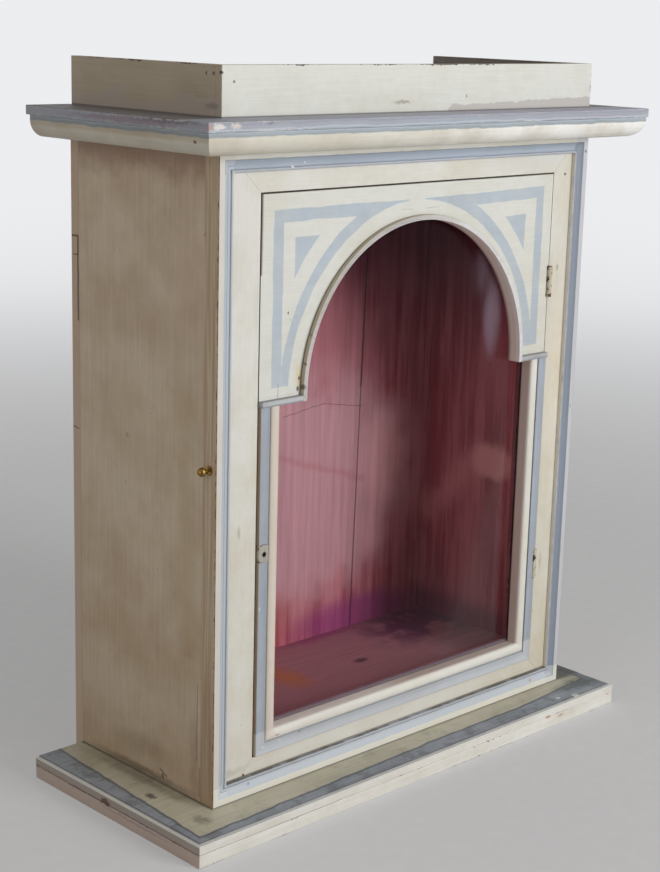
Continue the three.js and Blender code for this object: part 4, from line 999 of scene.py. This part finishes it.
def plinth_paint():
    """Old paint: a grey olive field, a hand-drawn blue grey border with dirt, a pale lip and edges."""
    material, tree, place = start_material("worn_oil_paint_on_plinth")
    x, y, z = add(tree, "SeparateXYZ", [place]).outputs
    low_x, high_x, low_y = PLINTH
    left = joined(tree, "SUBTRACT", x, low_x)
    right = joined(tree, "SUBTRACT", high_x, x)
    front = joined(tree, "SUBTRACT", y, low_y)
    near = joined(tree, "MINIMUM", left, right, front)
    # The border is drawn by eye: it widens along the front and towards the back
    front_width = add(tree, "MapRange", [x, -40.0, 260.0, 14.0, 22.5])
    far = add(tree, "MapRange", [x, 380.0, 480.0, 0.0, 8.0])
    front_width = joined(tree, "ADD", front_width, far)
    side_width = add(tree, "MapRange", [y, low_y, 189.0, 11.0, 27.0])
    inner = [joined(tree, "SUBTRACT", front, front_width)]
    inner += [joined(tree, "SUBTRACT", side, side_width) for side in (left, right)]
    inner = joined(tree, "MINIMUM", *inner)
    inner = joined(tree, "ADD", inner, wavering(tree, place, 24.0, 1.4))
    top = step(tree, z, 18.9, 19.3)
    field = both(tree, top, step(tree, inner, -0.5, 0.5))
    paint = over(tree, "#e4e3de", top, "#a9b0ba")
    aged = over(tree, "#d2ccc0", top, "#80868f")
    paint = over(tree, paint, field, "#d4cfbb")
    aged = over(tree, aged, field, "#b9b49d")
    colour, roughness, height = brushed(
        tree, paint, aged, "#6e6258", wear=-0.6, ageing=0.42, streaks=0.7, specks=0.9,
    )
    # Grime mottles the field and the border
    grime = add(tree, "TexNoise", {"Vector": place, "Scale": PLINTH_GRIME, "Detail": 6.0, "Roughness": 0.7})
    colour = over(tree, colour, both(tree, top, step(tree, grime, 0.5, 0.7)), "#7d796c", 0.3)
    border = both(tree, top, step(tree, inner, 0.5, -0.5))
    colour = over(tree, colour, both(tree, border, step(tree, grime, 0.5, 0.62)), "#585d65", 0.35)
    # Dark lines on both sides of the border, pale paint on the lip
    colour = over(tree, colour, both(tree, top, between(tree, inner, -2.6, 0.2, 0.8)), "#505154", 0.65)
    lip = both(tree, top, step(tree, near, PLINTH_LIP + 0.2, PLINTH_LIP - 0.2))
    colour = over(tree, colour, lip, "#e2e1dc", 0.95)
    outer_line = both(tree, top, between(tree, near, PLINTH_LIP, PLINTH_LIP + 1.0, 0.3))
    colour = over(tree, colour, outer_line, "#3f4044", 0.7)
    # The left edge has gone pinkish grey, and its joint is dark
    side = both(tree, step(tree, left, 0.5, 0.2), step(tree, z, 19.3, 18.9))
    pinkish = over(tree, "#8f7a74", step(tree, z, 12.6, 11.6), "#c0a69a")
    colour = over(tree, colour, side, pinkish, 0.7)
    colour = cracks(tree, place, colour, [
        ((-53, -46, 12.2), (-53, 204, 12.6), 1.2, 1.5, "#4c3a36", 0.85),
        ((-53, -46, 12.2), (110, -46, 12.6), 0.8, 1.5, "#857c68", 0.75),
        ((110, -46, 12.6), (330, -46, 12.2), 0.5, 1.5, "#a69e8c", 0.5),
    ])
    # A painted shadow lies along the foot of the case, darkest hard against it
    painted_shadow_at_case = both(tree, top, step(tree, y, -5.0, 0.0), step(tree, x, -3.0, 6.0))
    colour = over(tree, colour, painted_shadow_at_case, "#5c5446", 0.35)
    foot = both(tree, top, step(tree, x, -4.5, -0.5), step(tree, y, -3.0, 1.0))
    colour = over(tree, colour, foot, "#35302a", 0.7)
    # The first spot is painted shade along the case's left side
    colour = spots(tree, place, colour, [
        ((-8, 100, 21), (10, 110, 4), "#5e564a", 0.5, 0.9, 8, 10),
        ((486, 60, 21), (30, 120, 4), "#4c524e", 0.75, 0.8, 14, 14),
        ((470, -22, 21), (44, 16, 4), "#4c524e", 0.75, 0.7, 12, 12),
        ((-53, 83, 14), (3, 9, 4), "#5c3026", 0.9, 0.5, 5, 4),
        ((-25, 55, 21), (5, 9, 3), "#3e3830", 0.8, 0.6, 6, 3),
        ((427, -34, 21), (5, 3, 3), "#e6e4dc", 0.85, 0.5, 4, 4),
        ((374, -33, 21), (3, 3, 3), "#5a74a0", 0.7, 0.6, 3, 4),
        ((398, -46, 12.3), (6, 3, 2.0), "#b87a4c", 0.7, 0.6, 4, 4),
        ((-53, 40, 9), (3, 70, 1.6), "#9c8478", 0.6, 0.8, 4, 6),
        ((-20, -10, 21), (10, 14, 3), "#3f3a34", 0.5, 0.8, 8, 5),
        ((447, -40, 21), (6, 4, 3), "#e2e0d8", 0.85, 0.5, 4, 4),
        ((405, -40, 21), (5, 3, 3), "#6a84a4", 0.5, 0.6, 3, 4),
        ((418, -46, 9), (7, 3, 2.4), "#b98a6a", 0.6, 0.6, 4, 4),
    ])
    return close_material(material, colour, roughness, height, bump=0.35)


def patch_paint():
    """A small block of worn grey painted wood let into the moulding, round a dark hole."""
    material, tree, place = start_material("worn_paint_on_lock_patch")
    colour, roughness, height = brushed(
        tree, "#b9b8ae", "#9a9184", "#6a5442", wear=0.4, ageing=0.4, streaks=0.4, specks=0.9,
    )
    hole = ((56.5, 5, 238.75), (3.2, 12, 3.2), "#2a1e18", 0.95, 0.45, 1, 2)
    colour = spots(tree, place, colour, [hole])
    return close_material(material, colour, roughness, height)


def glazing_wood():
    """Thin pine stops, brown with age and a rubbed red wash."""
    material, tree, _ = start_material("planed_pine_glazing_stop")
    colour, roughness, height = brushed(
        tree, "#8a5660", "#6b343c", "#54382c", wear=0.0, ageing=0.4, streaks=0.9, specks=0.3,
    )
    return close_material(material, colour, roughness, height, bump=0.35)


def window_glass():
    """Old drawn glass: clear, with a faint sheen, a painted lilac reflection by the arch and dirt along its
    foot.
    """
    material, tree, place = start_material("drawn_sheet_glass")
    z = add(tree, "SeparateXYZ", [place]).outputs["Z"]
    clear = add(tree, "BsdfTransparent", {"Color": (0.98, 0.985, 0.98, 1.0)})
    ripple = add(tree, "TexNoise", {"Vector": place, "Scale": GLASS_RIPPLE, "Detail": 1.0})
    wavy = add(tree, "Bump", {"Strength": 0.15, "Distance": 0.002, "Height": ripple})
    sheen = {"Color": (1.0, 1.0, 1.0, 1.0), "Roughness": 0.04, "Normal": wavy}
    mirror = add(tree, "BsdfAnisotropic", sheen, distribution="GGX")
    slant = add(tree, "Fresnel", {"IOR": 1.28})
    faint = joined(tree, "MULTIPLY", slant, 0.06)
    pane = add(tree, "MixShader", [faint, clear, mirror])
    foot = add(tree, "MapRange", [z, 79.0, 75.0, 0.0, 0.5], interpolation_type="SMOOTHSTEP")
    # Pale lilac patches by the arch are a painted reflection, laid on with the dirt at the foot
    painted_reflection = spots(tree, place, (0.0, 0.0, 0.0, 1.0), [
        ((355, 15, 414), (17, 6, 52), "#ffffff", 0.19, 0.7, 6, 30),
        ((340, 15, 462), (18, 6, 40), "#ffffff", 0.1, 0.9, 6, 30),
    ])
    painted_reflection = add(tree, "SeparateColor", [painted_reflection]).outputs[0]
    dusty = joined(tree, "ADD", foot, painted_reflection)
    tint = over(tree, "#9e92a4", foot, "#9a8f86")
    dust_and_painted_reflection = add(tree, "BsdfDiffuse", {"Color": tint})
    surface = add(tree, "MixShader", [dusty, pane, dust_and_painted_reflection])
    add(tree, "OutputMaterial", {"Surface": surface})
    return material


def aged_iron():
    """Cast iron hinge leaves under old cream paint, rusted brown where it has flaked."""
    material, tree, place = start_material("painted_iron_butt_hinge")
    rust = add(tree, "TexNoise", {"Vector": place, "Scale": HINGE_RUST, "Detail": 5.0, "Roughness": 0.65})
    patch = add(tree, "TexNoise", {"Vector": place, "Scale": HINGE_FLAKES, "Detail": 4.0})
    colour = over(tree, "#3f2c24", step(tree, rust, 0.35, 0.65), "#7c4a30")
    left = step(tree, patch, 0.44, 0.48)
    colour = over(tree, colour, left, "#c4bda9")
    metal = add(tree, "MapRange", {"Value": left, "To Min": 0.55, "To Max": 0.0})
    roughness = add(tree, "MapRange", [rust, 0.3, 0.7, 0.55, 0.85])
    return close_material(material, colour, roughness, rust, bump=0.5, Metallic=metal.outputs[0])


def driven_iron():
    """Heads of cut nails and screws: rusted iron, brown where it is dry and nearly black in the pits."""
    material, tree, place = start_material("rusted_nail_heads")
    rust = add(tree, "TexNoise", {"Vector": place, "Scale": NAIL_RUST, "Detail": 4.0, "Roughness": 0.65})
    colour = over(tree, "#2c211c", step(tree, rust, 0.38, 0.62), "#6d4632")
    roughness = add(tree, "MapRange", [rust, 0.3, 0.7, 0.5, 0.9])
    return close_material(material, colour, roughness, rust, bump=0.4, Metallic=0.4)


def aged_brass():
    """Turned brass, dulled brown in its recesses and rubbed bright where it is handled."""
    material, tree, place = start_material("turned_brass_lock_pin")
    tarnish = add(tree, "TexNoise", {"Vector": place, "Scale": BRASS_TARNISH, "Detail": 4.0})
    share = add(tree, "MapRange", [tarnish, 0.35, 0.65])
    colour = over(tree, "#5a4324", share, "#b08c48")
    roughness = add(tree, "MapRange", [tarnish, 0.35, 0.65, 0.55, 0.28])
    return close_material(material, colour, roughness, tarnish, bump=0.2, Metallic=1.0)


# Pieces


def softened(node, bevel, run=None, seed=0):
    """A copy of a board with its arrises taken off, and the attributes that the paint reads."""
    mesh = bpy.data.meshes.new(node + "_painted")
    bm = bmesh.new()
    bm.from_mesh(frame["nodes"][node].data)
    bmesh.ops.remove_doubles(bm, verts=bm.verts, dist=1e-6)
    bmesh.ops.dissolve_limit(bm, angle_limit=math.radians(FLAT_ANGLE), verts=bm.verts, edges=bm.edges)
    bm.normal_update()
    arrises = []
    for edge in bm.edges:
        if len(edge.link_faces) != 2 or not edge.is_convex:
            continue
        if edge.calc_face_angle() < math.radians(ARRIS_ANGLE):
            continue
        heading = (edge.verts[1].co - edge.verts[0].co).normalized()
        if run is None or abs(heading.dot(run)) > ALONG_RUN:
            arrises.append(edge)
    if arrises:
        bmesh.ops.bevel(
            bm, geom=arrises, offset=bevel, segments=2, profile=0.5, affect="EDGES", clamp_overlap=True,
        )
    bm.to_mesh(mesh)
    bm.free()
    mesh.shade_smooth()
    mesh.set_sharp_from_angle(angle=math.radians(SHARP_ANGLE))
    piece = bpy.data.objects.new(node + "_painted", mesh)
    bpy.context.scene.collection.objects.link(piece)
    weights = piece.modifiers.new("even_shading", "WEIGHTED_NORMAL")
    weights.keep_sharp = True
    weights.weight = 80
    made_plain(piece, preserve_all_data_layers=True)
    low, high = (np.array(corner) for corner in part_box(node))
    places = np.empty(len(piece.data.vertices) * 3)
    piece.data.vertices.foreach_get("co", places)
    places = places.reshape(-1, 3)
    # The grain runs along the board's longest side, and starts at another place on each board
    longest = int(np.argmax(high - low))
    order = [longest] + [axis for axis in range(3) if axis != longest]
    shift = random.Random(seed).random
    grain = places[:, order] + np.array([shift() * GRAIN_SHIFT for _ in range(3)])
    write(piece, "grain", "FLOAT_VECTOR", grain)
    write(piece, "from_low_corner", "FLOAT_VECTOR", places - low)
    write(piece, "from_high_corner", "FLOAT_VECTOR", high - places)
    return piece, places


def made_plain(piece, **options):
    """Puts the result of a piece's modifiers in place of its mesh."""
    before = piece.data
    graph = bpy.context.evaluated_depsgraph_get()
    after = bpy.data.meshes.new_from_object(piece.evaluated_get(graph), depsgraph=graph, **options)
    piece.modifiers.clear()
    piece.data = after
    after.name = piece.name
    bpy.data.meshes.remove(before)


def write(piece, name, kind, values):
    """Gives each point of a piece its value of an attribute."""
    field = "vector" if kind == "FLOAT_VECTOR" else "value"
    number = np.int32 if kind == "INT" else np.float32
    attribute = piece.data.attributes.new(name, kind, "POINT")
    attribute.data.foreach_set(field, np.ascontiguousarray(values, dtype=number).ravel())


def across_frame(places, rectangle, sides):
    """How far each point is in from the given sides of a rectangle on the front, in millimetres."""
    left, right, foot, top = rectangle
    x = places[:, 0] / MM + CASE_CORNER[0]
    z = places[:, 2] / MM
    reaches = {"left": x - left, "right": right - x, "foot": z - foot, "top": top - z}
    return np.min([reaches[side] for side in sides], axis=0)


def finish_piece(piece, node, material):
    """Paints a piece, and puts it on the body of the node that it replaces."""
    piece.data.materials.clear()
    piece.data.materials.append(material)
    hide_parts(node)
    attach(piece, frame["nodes"][node]["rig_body"])


# Angles in degrees: a joint flatter than the first vanishes, an edge sharper than the second is an
# arris, and shading breaks at an edge sharper than the third
FLAT_ANGLE, ARRIS_ANGLE, SHARP_ANGLE = 0.5, 38, 42
# The least cosine between a moulding's arris and the way that it runs
ALONG_RUN = 0.999
# The farthest apart that the grain starts on two boards, in metres, so that no two match
GRAIN_SHIFT = 3
# How much of a moulding's arrises is gone, in millimetres
MOULDING_ARRIS = 0.35
X_AXIS, Y_AXIS, Z_AXIS = Vector((1, 0, 0)), Vector((0, 1, 0)), Vector((0, 0, 1))
CREAM = cream_front_paint()
SIDE = side_paint()
BACK = back_wood()
RED = red_lining()
FLOOR = floor_stain()
GALLERY = gallery_paint()
CORNICE_BOARD = cornice_board_paint()
CORNICE = cornice_paint()
FRAME_MOULDING = frame_moulding_paint()
DOOR_MOULDING = door_moulding_paint()
DOOR_FRAME = door_frame_paint()
SPANDREL = spandrel_paint()
STRIP = strip_paint()
PLINTH_PAINT = plinth_paint()
PATCH = patch_paint()
STOP = glazing_wood()
GLASS = window_glass()
IRON = aged_iron()
BRASS = aged_brass()
DRIVEN_IRON = driven_iron()

# Every board: its finish, its slot in the record, how much of its arrises is gone in millimetres, its nodes
BOARDS = (
    (PLINTH_PAINT, "cream_paint", 0.9, "plinth_lower_board"),
    (PLINTH_PAINT, "plinth_paint", 0.7, "plinth_upper_board"),
    (FLOOR, "niche_floor_stain", 0.3, "floor_board"),
    (SIDE, "side_paint", 0.5, "left_side_panel", "right_side_panel"),
    (RED, "niche_red_stain", 0.3, "ceiling_board"),
    (BACK, "back_wood", 0.5, "back_plank_left", "back_plank_middle", "back_plank_right"),
    (CORNICE_BOARD, "cornice_board_paint", 0.9, "cornice_board"),
    (GALLERY, "gallery_paint", 0.4, "gallery_front_board", "gallery_left_board", "gallery_right_board"),
    (CREAM, "cream_paint", 0.2, "face_frame_left_stile", "face_frame_right_stile",
     "face_frame_top_rail", "face_frame_bottom_rail"),
    (DOOR_FRAME, "door_paint", 0.3, "door_left_stile", "door_right_stile",
     "door_top_rail", "door_bottom_rail"),
    (SPANDREL, "spandrel_paint", 0.4, "spandrel_panel"),
    (STRIP, "blue_grey_paint", 0.5, "arch_edge_strip", "left_ledge_strip", "right_ledge_strip"),
    (PATCH, "cream_paint", 0.3, "lock_patch_block"),
    (STOP, "back_wood", 0.3, "glazing_stop_left", "glazing_stop_right",
     "glazing_stop_top", "glazing_stop_bottom"),
)
seed = 0
for material, slot, arris, *nodes in BOARDS:
    for node in nodes:
        piece, _ = softened(node, arris * MM, seed=seed)
        finish_piece(piece, node, material)
        seed += 1

# Every moulding: its name, finish and slot, the rectangle's sides that its paint follows, each run's way
FRAME_EDGES = (0.0, CASE_WIDTH, PLINTH_TOP, SOFFIT)
FRAME_SIDES = (FRAME_EDGES, ("left", "right", "foot", "top"))
DOOR_SIDES = (DOOR, ("left", "right", "foot"))
MOULDINGS = (
    ("cornice_moulding_", CORNICE, "cornice_paint", None,
     {"front": X_AXIS, "left": Y_AXIS, "right": Y_AXIS}),
    ("frame_moulding_", FRAME_MOULDING, "frame_moulding_paint", FRAME_SIDES,
     {"left": Z_AXIS, "right": Z_AXIS, "top": X_AXIS, "bottom": X_AXIS}),
    ("door_moulding_", DOOR_MOULDING, "door_moulding_paint", DOOR_SIDES,
     {"left": Z_AXIS, "right": Z_AXIS, "bottom": X_AXIS}),
)
seed = 100
for name, material, slot, followed, runs in MOULDINGS:
    for side, run in runs.items():
        node = name + side
        piece, places = softened(node, MOULDING_ARRIS * MM, run, seed=seed)
        across = across_frame(places, *followed) if followed else np.zeros(len(places))
        write(piece, "across", "FLOAT", across)
        finish_piece(piece, node, material)
        seed += 1

# Pieces whose solids are right as they are, with a better finish
PLAIN_NODES = {"glass_pane": GLASS}
for part in ("case_leaf", "door_leaf", "pin"):
    for level in ("upper", "lower"):
        PLAIN_NODES["%s_hinge_%s" % (level, part)] = IRON
for part in ("collar", "rod", "knob"):
    PLAIN_NODES["lock_pin_" + part] = BRASS
for node, material in PLAIN_NODES.items():
    data = frame["nodes"][node].data
    data.materials.clear()
    data.materials.append(material)

# Heads of the nails and screws, by Geometry Nodes: places and ways they face, in case millimetres
FORWARD, BACKWARD, LEFTWARD, RIGHTWARD = (0, -1, 0), (0, 1, 0), (-1, 0, 0), (1, 0, 0)
NAIL, SCREW = 0, 1
NAIL_SEED = 11
# A head's rise, as a share of its radius
NAIL_RISE, SCREW_RISE = 0.3, 0.08
# Half the angle that a slot cuts out of the rim at each end, and the most that a head leans, in radians
SLOT_ANGLE, HEAD_LEAN = 0.14, 0.07


def driven_heads_tree():
    """Nail and screw heads on a piece's points, by the head, the size and the way that each point holds."""
    tree, given, end = shared(
        "driven_heads",
        [("Points", "Geometry", None), ("Nail Rise", "Float", NAIL_RISE), ("Screw Rise", "Float", SCREW_RISE),
         ("Slot Angle", "Float", SLOT_ANGLE), ("Lean", "Float", HEAD_LEAN), ("Seed", "Int", 0),
         ("Finish", "Material", None)],
        [("Heads", "Geometry")],
        kind="GeometryNodeTree",
    )
    # A nail: a low dome, as a hammer leaves it
    dome = add(tree, "GeometryNodeMeshUVSphere", {"Segments": 10, "Rings": 5, "Radius": 1.0})
    dome = add(tree, "GeometryNodeSetShadeSmooth", {"Geometry": dome.outputs["Mesh"]})
    flat = add(tree, "ShaderNodeCombineXYZ", {"X": 1.0, "Y": 1.0, "Z": given["Nail Rise"]})
    nail = add(tree, "GeometryNodeTransform", {"Geometry": dome, "Scale": flat})
    # A screw: two raised halves with the slot between them
    turn = add(tree, "Math", [given["Slot Angle"], -2.0, math.pi], operation="MULTIPLY_ADD")
    arc = add(tree, "GeometryNodeCurveArc", {
        "Resolution": 9, "Radius": 1.0, "Start Angle": given["Slot Angle"], "Sweep Angle": turn,
    })
    half = add(tree, "GeometryNodeSetSplineCyclic", {"Geometry": arc.outputs["Curve"], "Cyclic": True})
    half = add(tree, "GeometryNodeFillCurve", {"Curve": half})
    half = add(tree, "GeometryNodeExtrudeMesh", {"Mesh": half, "Offset Scale": given["Screw Rise"]})
    half = half.outputs["Mesh"]
    other = add(tree, "GeometryNodeTransform", {"Geometry": half, "Rotation": (0.0, 0.0, math.pi)})
    screw = add(tree, "GeometryNodeJoinGeometry")
    tree.links.new(half, screw.inputs[0])
    tree.links.new(other.outputs[0], screw.inputs[0])
    # Turned to the way its point faces, then leaning and turned by chance
    facing = add(tree, "GeometryNodeInputNamedAttribute", {"Name": "facing"}, data_type="FLOAT_VECTOR")
    size = add(tree, "GeometryNodeInputNamedAttribute", {"Name": "size"}, data_type="FLOAT")
    form = add(tree, "GeometryNodeInputNamedAttribute", {"Name": "form"}, data_type="INT")
    aimed = add(tree, "FunctionNodeAlignRotationToVector", {"Vector": facing}, axis="Z")
    lean = add(tree, "CombineXYZ", {"X": given["Lean"], "Y": given["Lean"], "Z": math.pi})
    least = add(tree, "VectorMath", {0: lean, "Scale": -1.0}, operation="SCALE")
    limits = {"Min": least, "Max": lean, "Seed": given["Seed"]}
    chance = add(tree, "FunctionNodeRandomValue", limits, data_type="FLOAT_VECTOR")
    turned = {"Rotation": aimed, "Rotate By": add(tree, "FunctionNodeEulerToRotation", {"Euler": chance})}
    aimed = add(tree, "FunctionNodeRotateRotation", turned, rotation_space="LOCAL")
    heads = add(tree, "GeometryNodeJoinGeometry")
    for number, shape in ((NAIL, nail), (SCREW, screw)):
        asked = {"A": form, "B": number}
        chosen = add(tree, "FunctionNodeCompare", asked, data_type="INT", operation="EQUAL")
        placed = add(tree, "GeometryNodeInstanceOnPoints", {
            "Points": given["Points"], "Selection": chosen, "Instance": shape,
            "Rotation": aimed, "Scale": size,
        })
        tree.links.new(placed.outputs[0], heads.inputs[0])
    real = add(tree, "GeometryNodeRealizeInstances", {"Geometry": heads})
    made = add(tree, "GeometryNodeSetMaterial", {"Geometry": real, "Material": given["Finish"]})
    tree.links.new(made.outputs[0], end["Heads"])
    return tree


DRIVEN_HEADS = driven_heads_tree()


def driven_heads(name, body, heads):
    """One plain mesh with the heads that ride a body: place, way it faces, radius in mm and form of each."""
    places, ways, sizes, forms = zip(*heads)
    piece = bpy.data.objects.new(name, bpy.data.meshes.new(name))
    piece.data.from_pydata([(np.array(place) - CASE_CORNER) * MM for place in places], [], [])
    write(piece, "facing", "FLOAT_VECTOR", ways)
    write(piece, "size", "FLOAT", [size * MM for size in sizes])
    write(piece, "form", "INT", forms)
    bpy.context.scene.collection.objects.link(piece)
    nodes = piece.modifiers.new("driven_heads", "NODES")
    nodes.node_group = DRIVEN_HEADS
    values = {
        "Nail Rise": NAIL_RISE, "Screw Rise": SCREW_RISE, "Slot Angle": SLOT_ANGLE, "Lean": HEAD_LEAN,
        "Seed": NAIL_SEED, "Finish": DRIVEN_IRON,
    }
    for item in DRIVEN_HEADS.interface.items_tree:
        if item.name in values:
            nodes[item.identifier] = values[item.name]
    made_plain(piece)
    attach(piece, body)


# The back planks are nailed along the side panels, the floor board and the ceiling board
uneven = random.Random(NAIL_SEED).uniform
BACK_FACE, CEILING_MIDDLE, FLOOR_MIDDLE = 200.0, 593.0, 46.0
NAIL_ROWS, LOWEST_ROW, ROW_PITCH = 7, 62, 83
# Radii of the heads, in millimetres
PLANK_NAIL, FRAME_NAIL, HINGE_SCREW, BRAD = 2.4, 1.3, 2.0, 0.9
back_nails = []
for x in (7.5, 458.5):
    for row in range(NAIL_ROWS):
        place = (x + uneven(-1.5, 1.5), BACK_FACE, LOWEST_ROW + ROW_PITCH * row + uneven(-7, 7))
        back_nails.append((place, BACKWARD, PLANK_NAIL, NAIL))
for z in (CEILING_MIDDLE, FLOOR_MIDDLE):
    for x in (38, 140, 214, 318, 388, 440):
        place = (x + uneven(-4, 4), BACK_FACE, z + uneven(-2, 2))
        back_nails.append((place, BACKWARD, PLANK_NAIL, NAIL))
# Two nails driven through the face frame
front_nails = [
    (place, FORWARD, FRAME_NAIL, NAIL) for place in ((38.8, FRAME_FACE, 39.2), (439.9, FRAME_FACE, 544.8))
]
# Two screws in each hinge leaf, seen when the door is open
HINGE_MIDDLES = (155.5, 442.25)
SCREW_DEPTH, SCREW_REACH = 11.8, 8.0
screw_heights = [middle + way * SCREW_REACH for middle in HINGE_MIDDLES for way in (-1, 1)]
case_screws = [((OPENING[1], SCREW_DEPTH, z), LEFTWARD, HINGE_SCREW, SCREW) for z in screw_heights]
door_screws = [((DOOR[1], SCREW_DEPTH, z), RIGHTWARD, HINGE_SCREW, SCREW) for z in screw_heights]
# Brads hold the glazing stops behind the glass
STOP_BACK, SIDE_STOPS, FLAT_STOPS = 22.0, (68.25, 404.75), (71.5, 527.5)
stop_brads = []
for row in range(5):
    for x in SIDE_STOPS:
        stop_brads.append(((x, STOP_BACK, 100 + 99 * row + uneven(-6, 6)), BACKWARD, BRAD, NAIL))
    for z in FLAT_STOPS:
        stop_brads.append(((92 + 72 * row + uneven(-6, 6), STOP_BACK, z), BACKWARD, BRAD, NAIL))
driven_heads("case_nails_and_screws", "case", back_nails + front_nails + case_screws)
driven_heads("door_brads_and_screws", "door", door_screws + stop_brads)


# Camera, floor and lamps. The camera's place and turns in radians were found from the case's edges
CAMERA_PLACE = (-1.1253, -1.1379, 0.69275)
CAMERA_YAW, CAMERA_PITCH, CAMERA_ROLL = 0.76962, 0.23948, -0.026397
SENSOR_HEIGHT, LENS = 36.0, 72.07
SHEET_FRONT, SHEET_BACK, SHEET_TOP, SHEET_HALF_WIDTH = -6.0, 4.0, 6.0, 9.0
SHEET_BEND, BEND_STEPS = 1.4, 16
WALL_GLOW = (0.84, 0.85, 0.87, 1.0)
AIR_GLOW = (1.0, 0.97, 0.93, 1.0)
OBJECT_MIDDLE = (0.0, 0.0, 0.3)


def photo_camera():
    """A camera at the photograph's viewing angle."""
    level = math.cos(CAMERA_PITCH)
    ahead = Vector((math.sin(CAMERA_YAW) * level, math.cos(CAMERA_YAW) * level, -math.sin(CAMERA_PITCH)))
    right = Vector((math.cos(CAMERA_YAW), -math.sin(CAMERA_YAW), 0))
    down = ahead.cross(right)
    level_right = math.cos(CAMERA_ROLL) * right + math.sin(CAMERA_ROLL) * down
    level_down = -math.sin(CAMERA_ROLL) * right + math.cos(CAMERA_ROLL) * down
    data = bpy.data.cameras.new("photo_camera")
    data.sensor_fit = "VERTICAL"
    data.sensor_height = SENSOR_HEIGHT
    data.lens = LENS
    data.clip_start = 0.05
    camera = bpy.data.objects.new("photo_camera", data)
    axes = Matrix((level_right, -level_down, -ahead)).transposed().to_4x4()
    camera.matrix_world = Matrix.Translation(CAMERA_PLACE) @ axes
    bpy.context.scene.collection.objects.link(camera)
    bpy.context.scene.camera = camera


def seen_by_camera(tree):
    """1 for the rays that show a surface to the camera, straight, mirrored or through glass."""
    rays = add(tree, "LightPath").outputs
    return joined(
        tree, "MAXIMUM", rays["Is Camera Ray"], rays["Is Glossy Ray"], rays["Is Transmission Ray"],
    )


def studio_floor():
    """A pale sheet that runs out under the object and rises behind it."""
    bend_start = SHEET_BACK - SHEET_BEND
    profile = [(SHEET_FRONT, 0.0), (bend_start, 0.0)]
    for i in range(1, BEND_STEPS + 1):
        angle = math.radians(90 * i / BEND_STEPS)
        reach = bend_start + SHEET_BEND * math.sin(angle)
        profile.append((reach, SHEET_BEND - SHEET_BEND * math.cos(angle)))
    profile.append((SHEET_BACK, SHEET_TOP))
    ahead = Vector((math.sin(CAMERA_YAW), math.cos(CAMERA_YAW), 0))
    side = Vector((math.cos(CAMERA_YAW), -math.sin(CAMERA_YAW), 0)) * SHEET_HALF_WIDTH
    mesh = bpy.data.meshes.new("studio_floor")
    bm = bmesh.new()
    rows = []
    for reach, height in profile:
        middle = ahead * reach + Vector((0, 0, height))
        rows.append((bm.verts.new(middle - side), bm.verts.new(middle + side)))
    for (a, b), (c, d) in zip(rows, rows[1:]):
        bm.faces.new((a, b, d, c))
    bmesh.ops.recalc_face_normals(bm, faces=bm.faces)
    bm.to_mesh(mesh)
    bm.free()
    mesh.shade_smooth()
    floor = bpy.data.objects.new("studio_floor", mesh)
    bpy.context.scene.collection.objects.link(floor)
    material = bpy.data.materials.new("pale_paper_sheet")
    material.use_nodes = True
    tree = material.node_tree
    tree.nodes.clear()
    here = add(tree, "TexCoord").outputs["Object"]
    fibres = add(tree, "TexNoise", {"Vector": here, "Scale": 60.0, "Detail": 3.0})
    tone = add(tree, "MapRange", [fibres, 0.3, 0.7, 0.66, 0.69])
    paper = add(tree, "BsdfDiffuse", {"Color": add(tree, "CombineColor", [tone, tone, tone])})
    # The sheet glows more towards the wall, but only to the camera, so that it lights nothing
    away = add(tree, "VectorMath", [here], operation="LENGTH").outputs["Value"]
    far = add(tree, "MapRange", [away, 0.5, 3.6, 0.25, 1.0], interpolation_type="SMOOTHSTEP")
    glow = add(tree, "Emission", {"Color": WALL_GLOW, "Strength": 1.0})
    surface = add(tree, "MixShader", [both(tree, seen_by_camera(tree), far), paper, glow])
    add(tree, "OutputMaterial", {"Surface": surface})
    mesh.materials.append(material)


def area_lamp(name, place, size, power, colour):
    """A round soft lamp that is aimed at the middle of the object."""
    data = bpy.data.lights.new(name, "AREA")
    data.shape = "DISK"
    data.size = size
    data.energy = power
    data.color = colour
    lamp = bpy.data.objects.new(name, data)
    aim = (Vector(OBJECT_MIDDLE) - Vector(place)).to_track_quat("-Z", "Y")
    lamp.matrix_world = Matrix.Translation(place) @ aim.to_matrix().to_4x4()
    bpy.context.scene.collection.objects.link(lamp)


def studio_light():
    """Weak warm light from all sides, a large lamp in front and a weaker one at the left."""
    world = bpy.data.worlds.new("studio_air")
    bpy.context.scene.world = world
    world.use_nodes = True
    tree = world.node_tree
    tree.nodes.clear()
    air = add(tree, "Background", {"Color": AIR_GLOW, "Strength": 0.26})
    wall = add(tree, "Background", {"Color": WALL_GLOW, "Strength": 1.0})
    surface = add(tree, "MixShader", [seen_by_camera(tree), air, wall])
    add(tree, "OutputWorld", {"Surface": surface})
    area_lamp("window_key", (0.75, -2.9, 1.0), size=1.6, power=58.0, colour=(1.0, 0.995, 0.985))
    area_lamp("left_fill", (-2.6, -0.6, 1.2), size=1.8, power=8.0, colour=(1.0, 0.93, 0.84))


photo_camera()
studio_floor()
studio_light()

bpy.context.view_layer.update()
scene = bpy.context.scene
scene.view_settings.view_transform = "Standard"
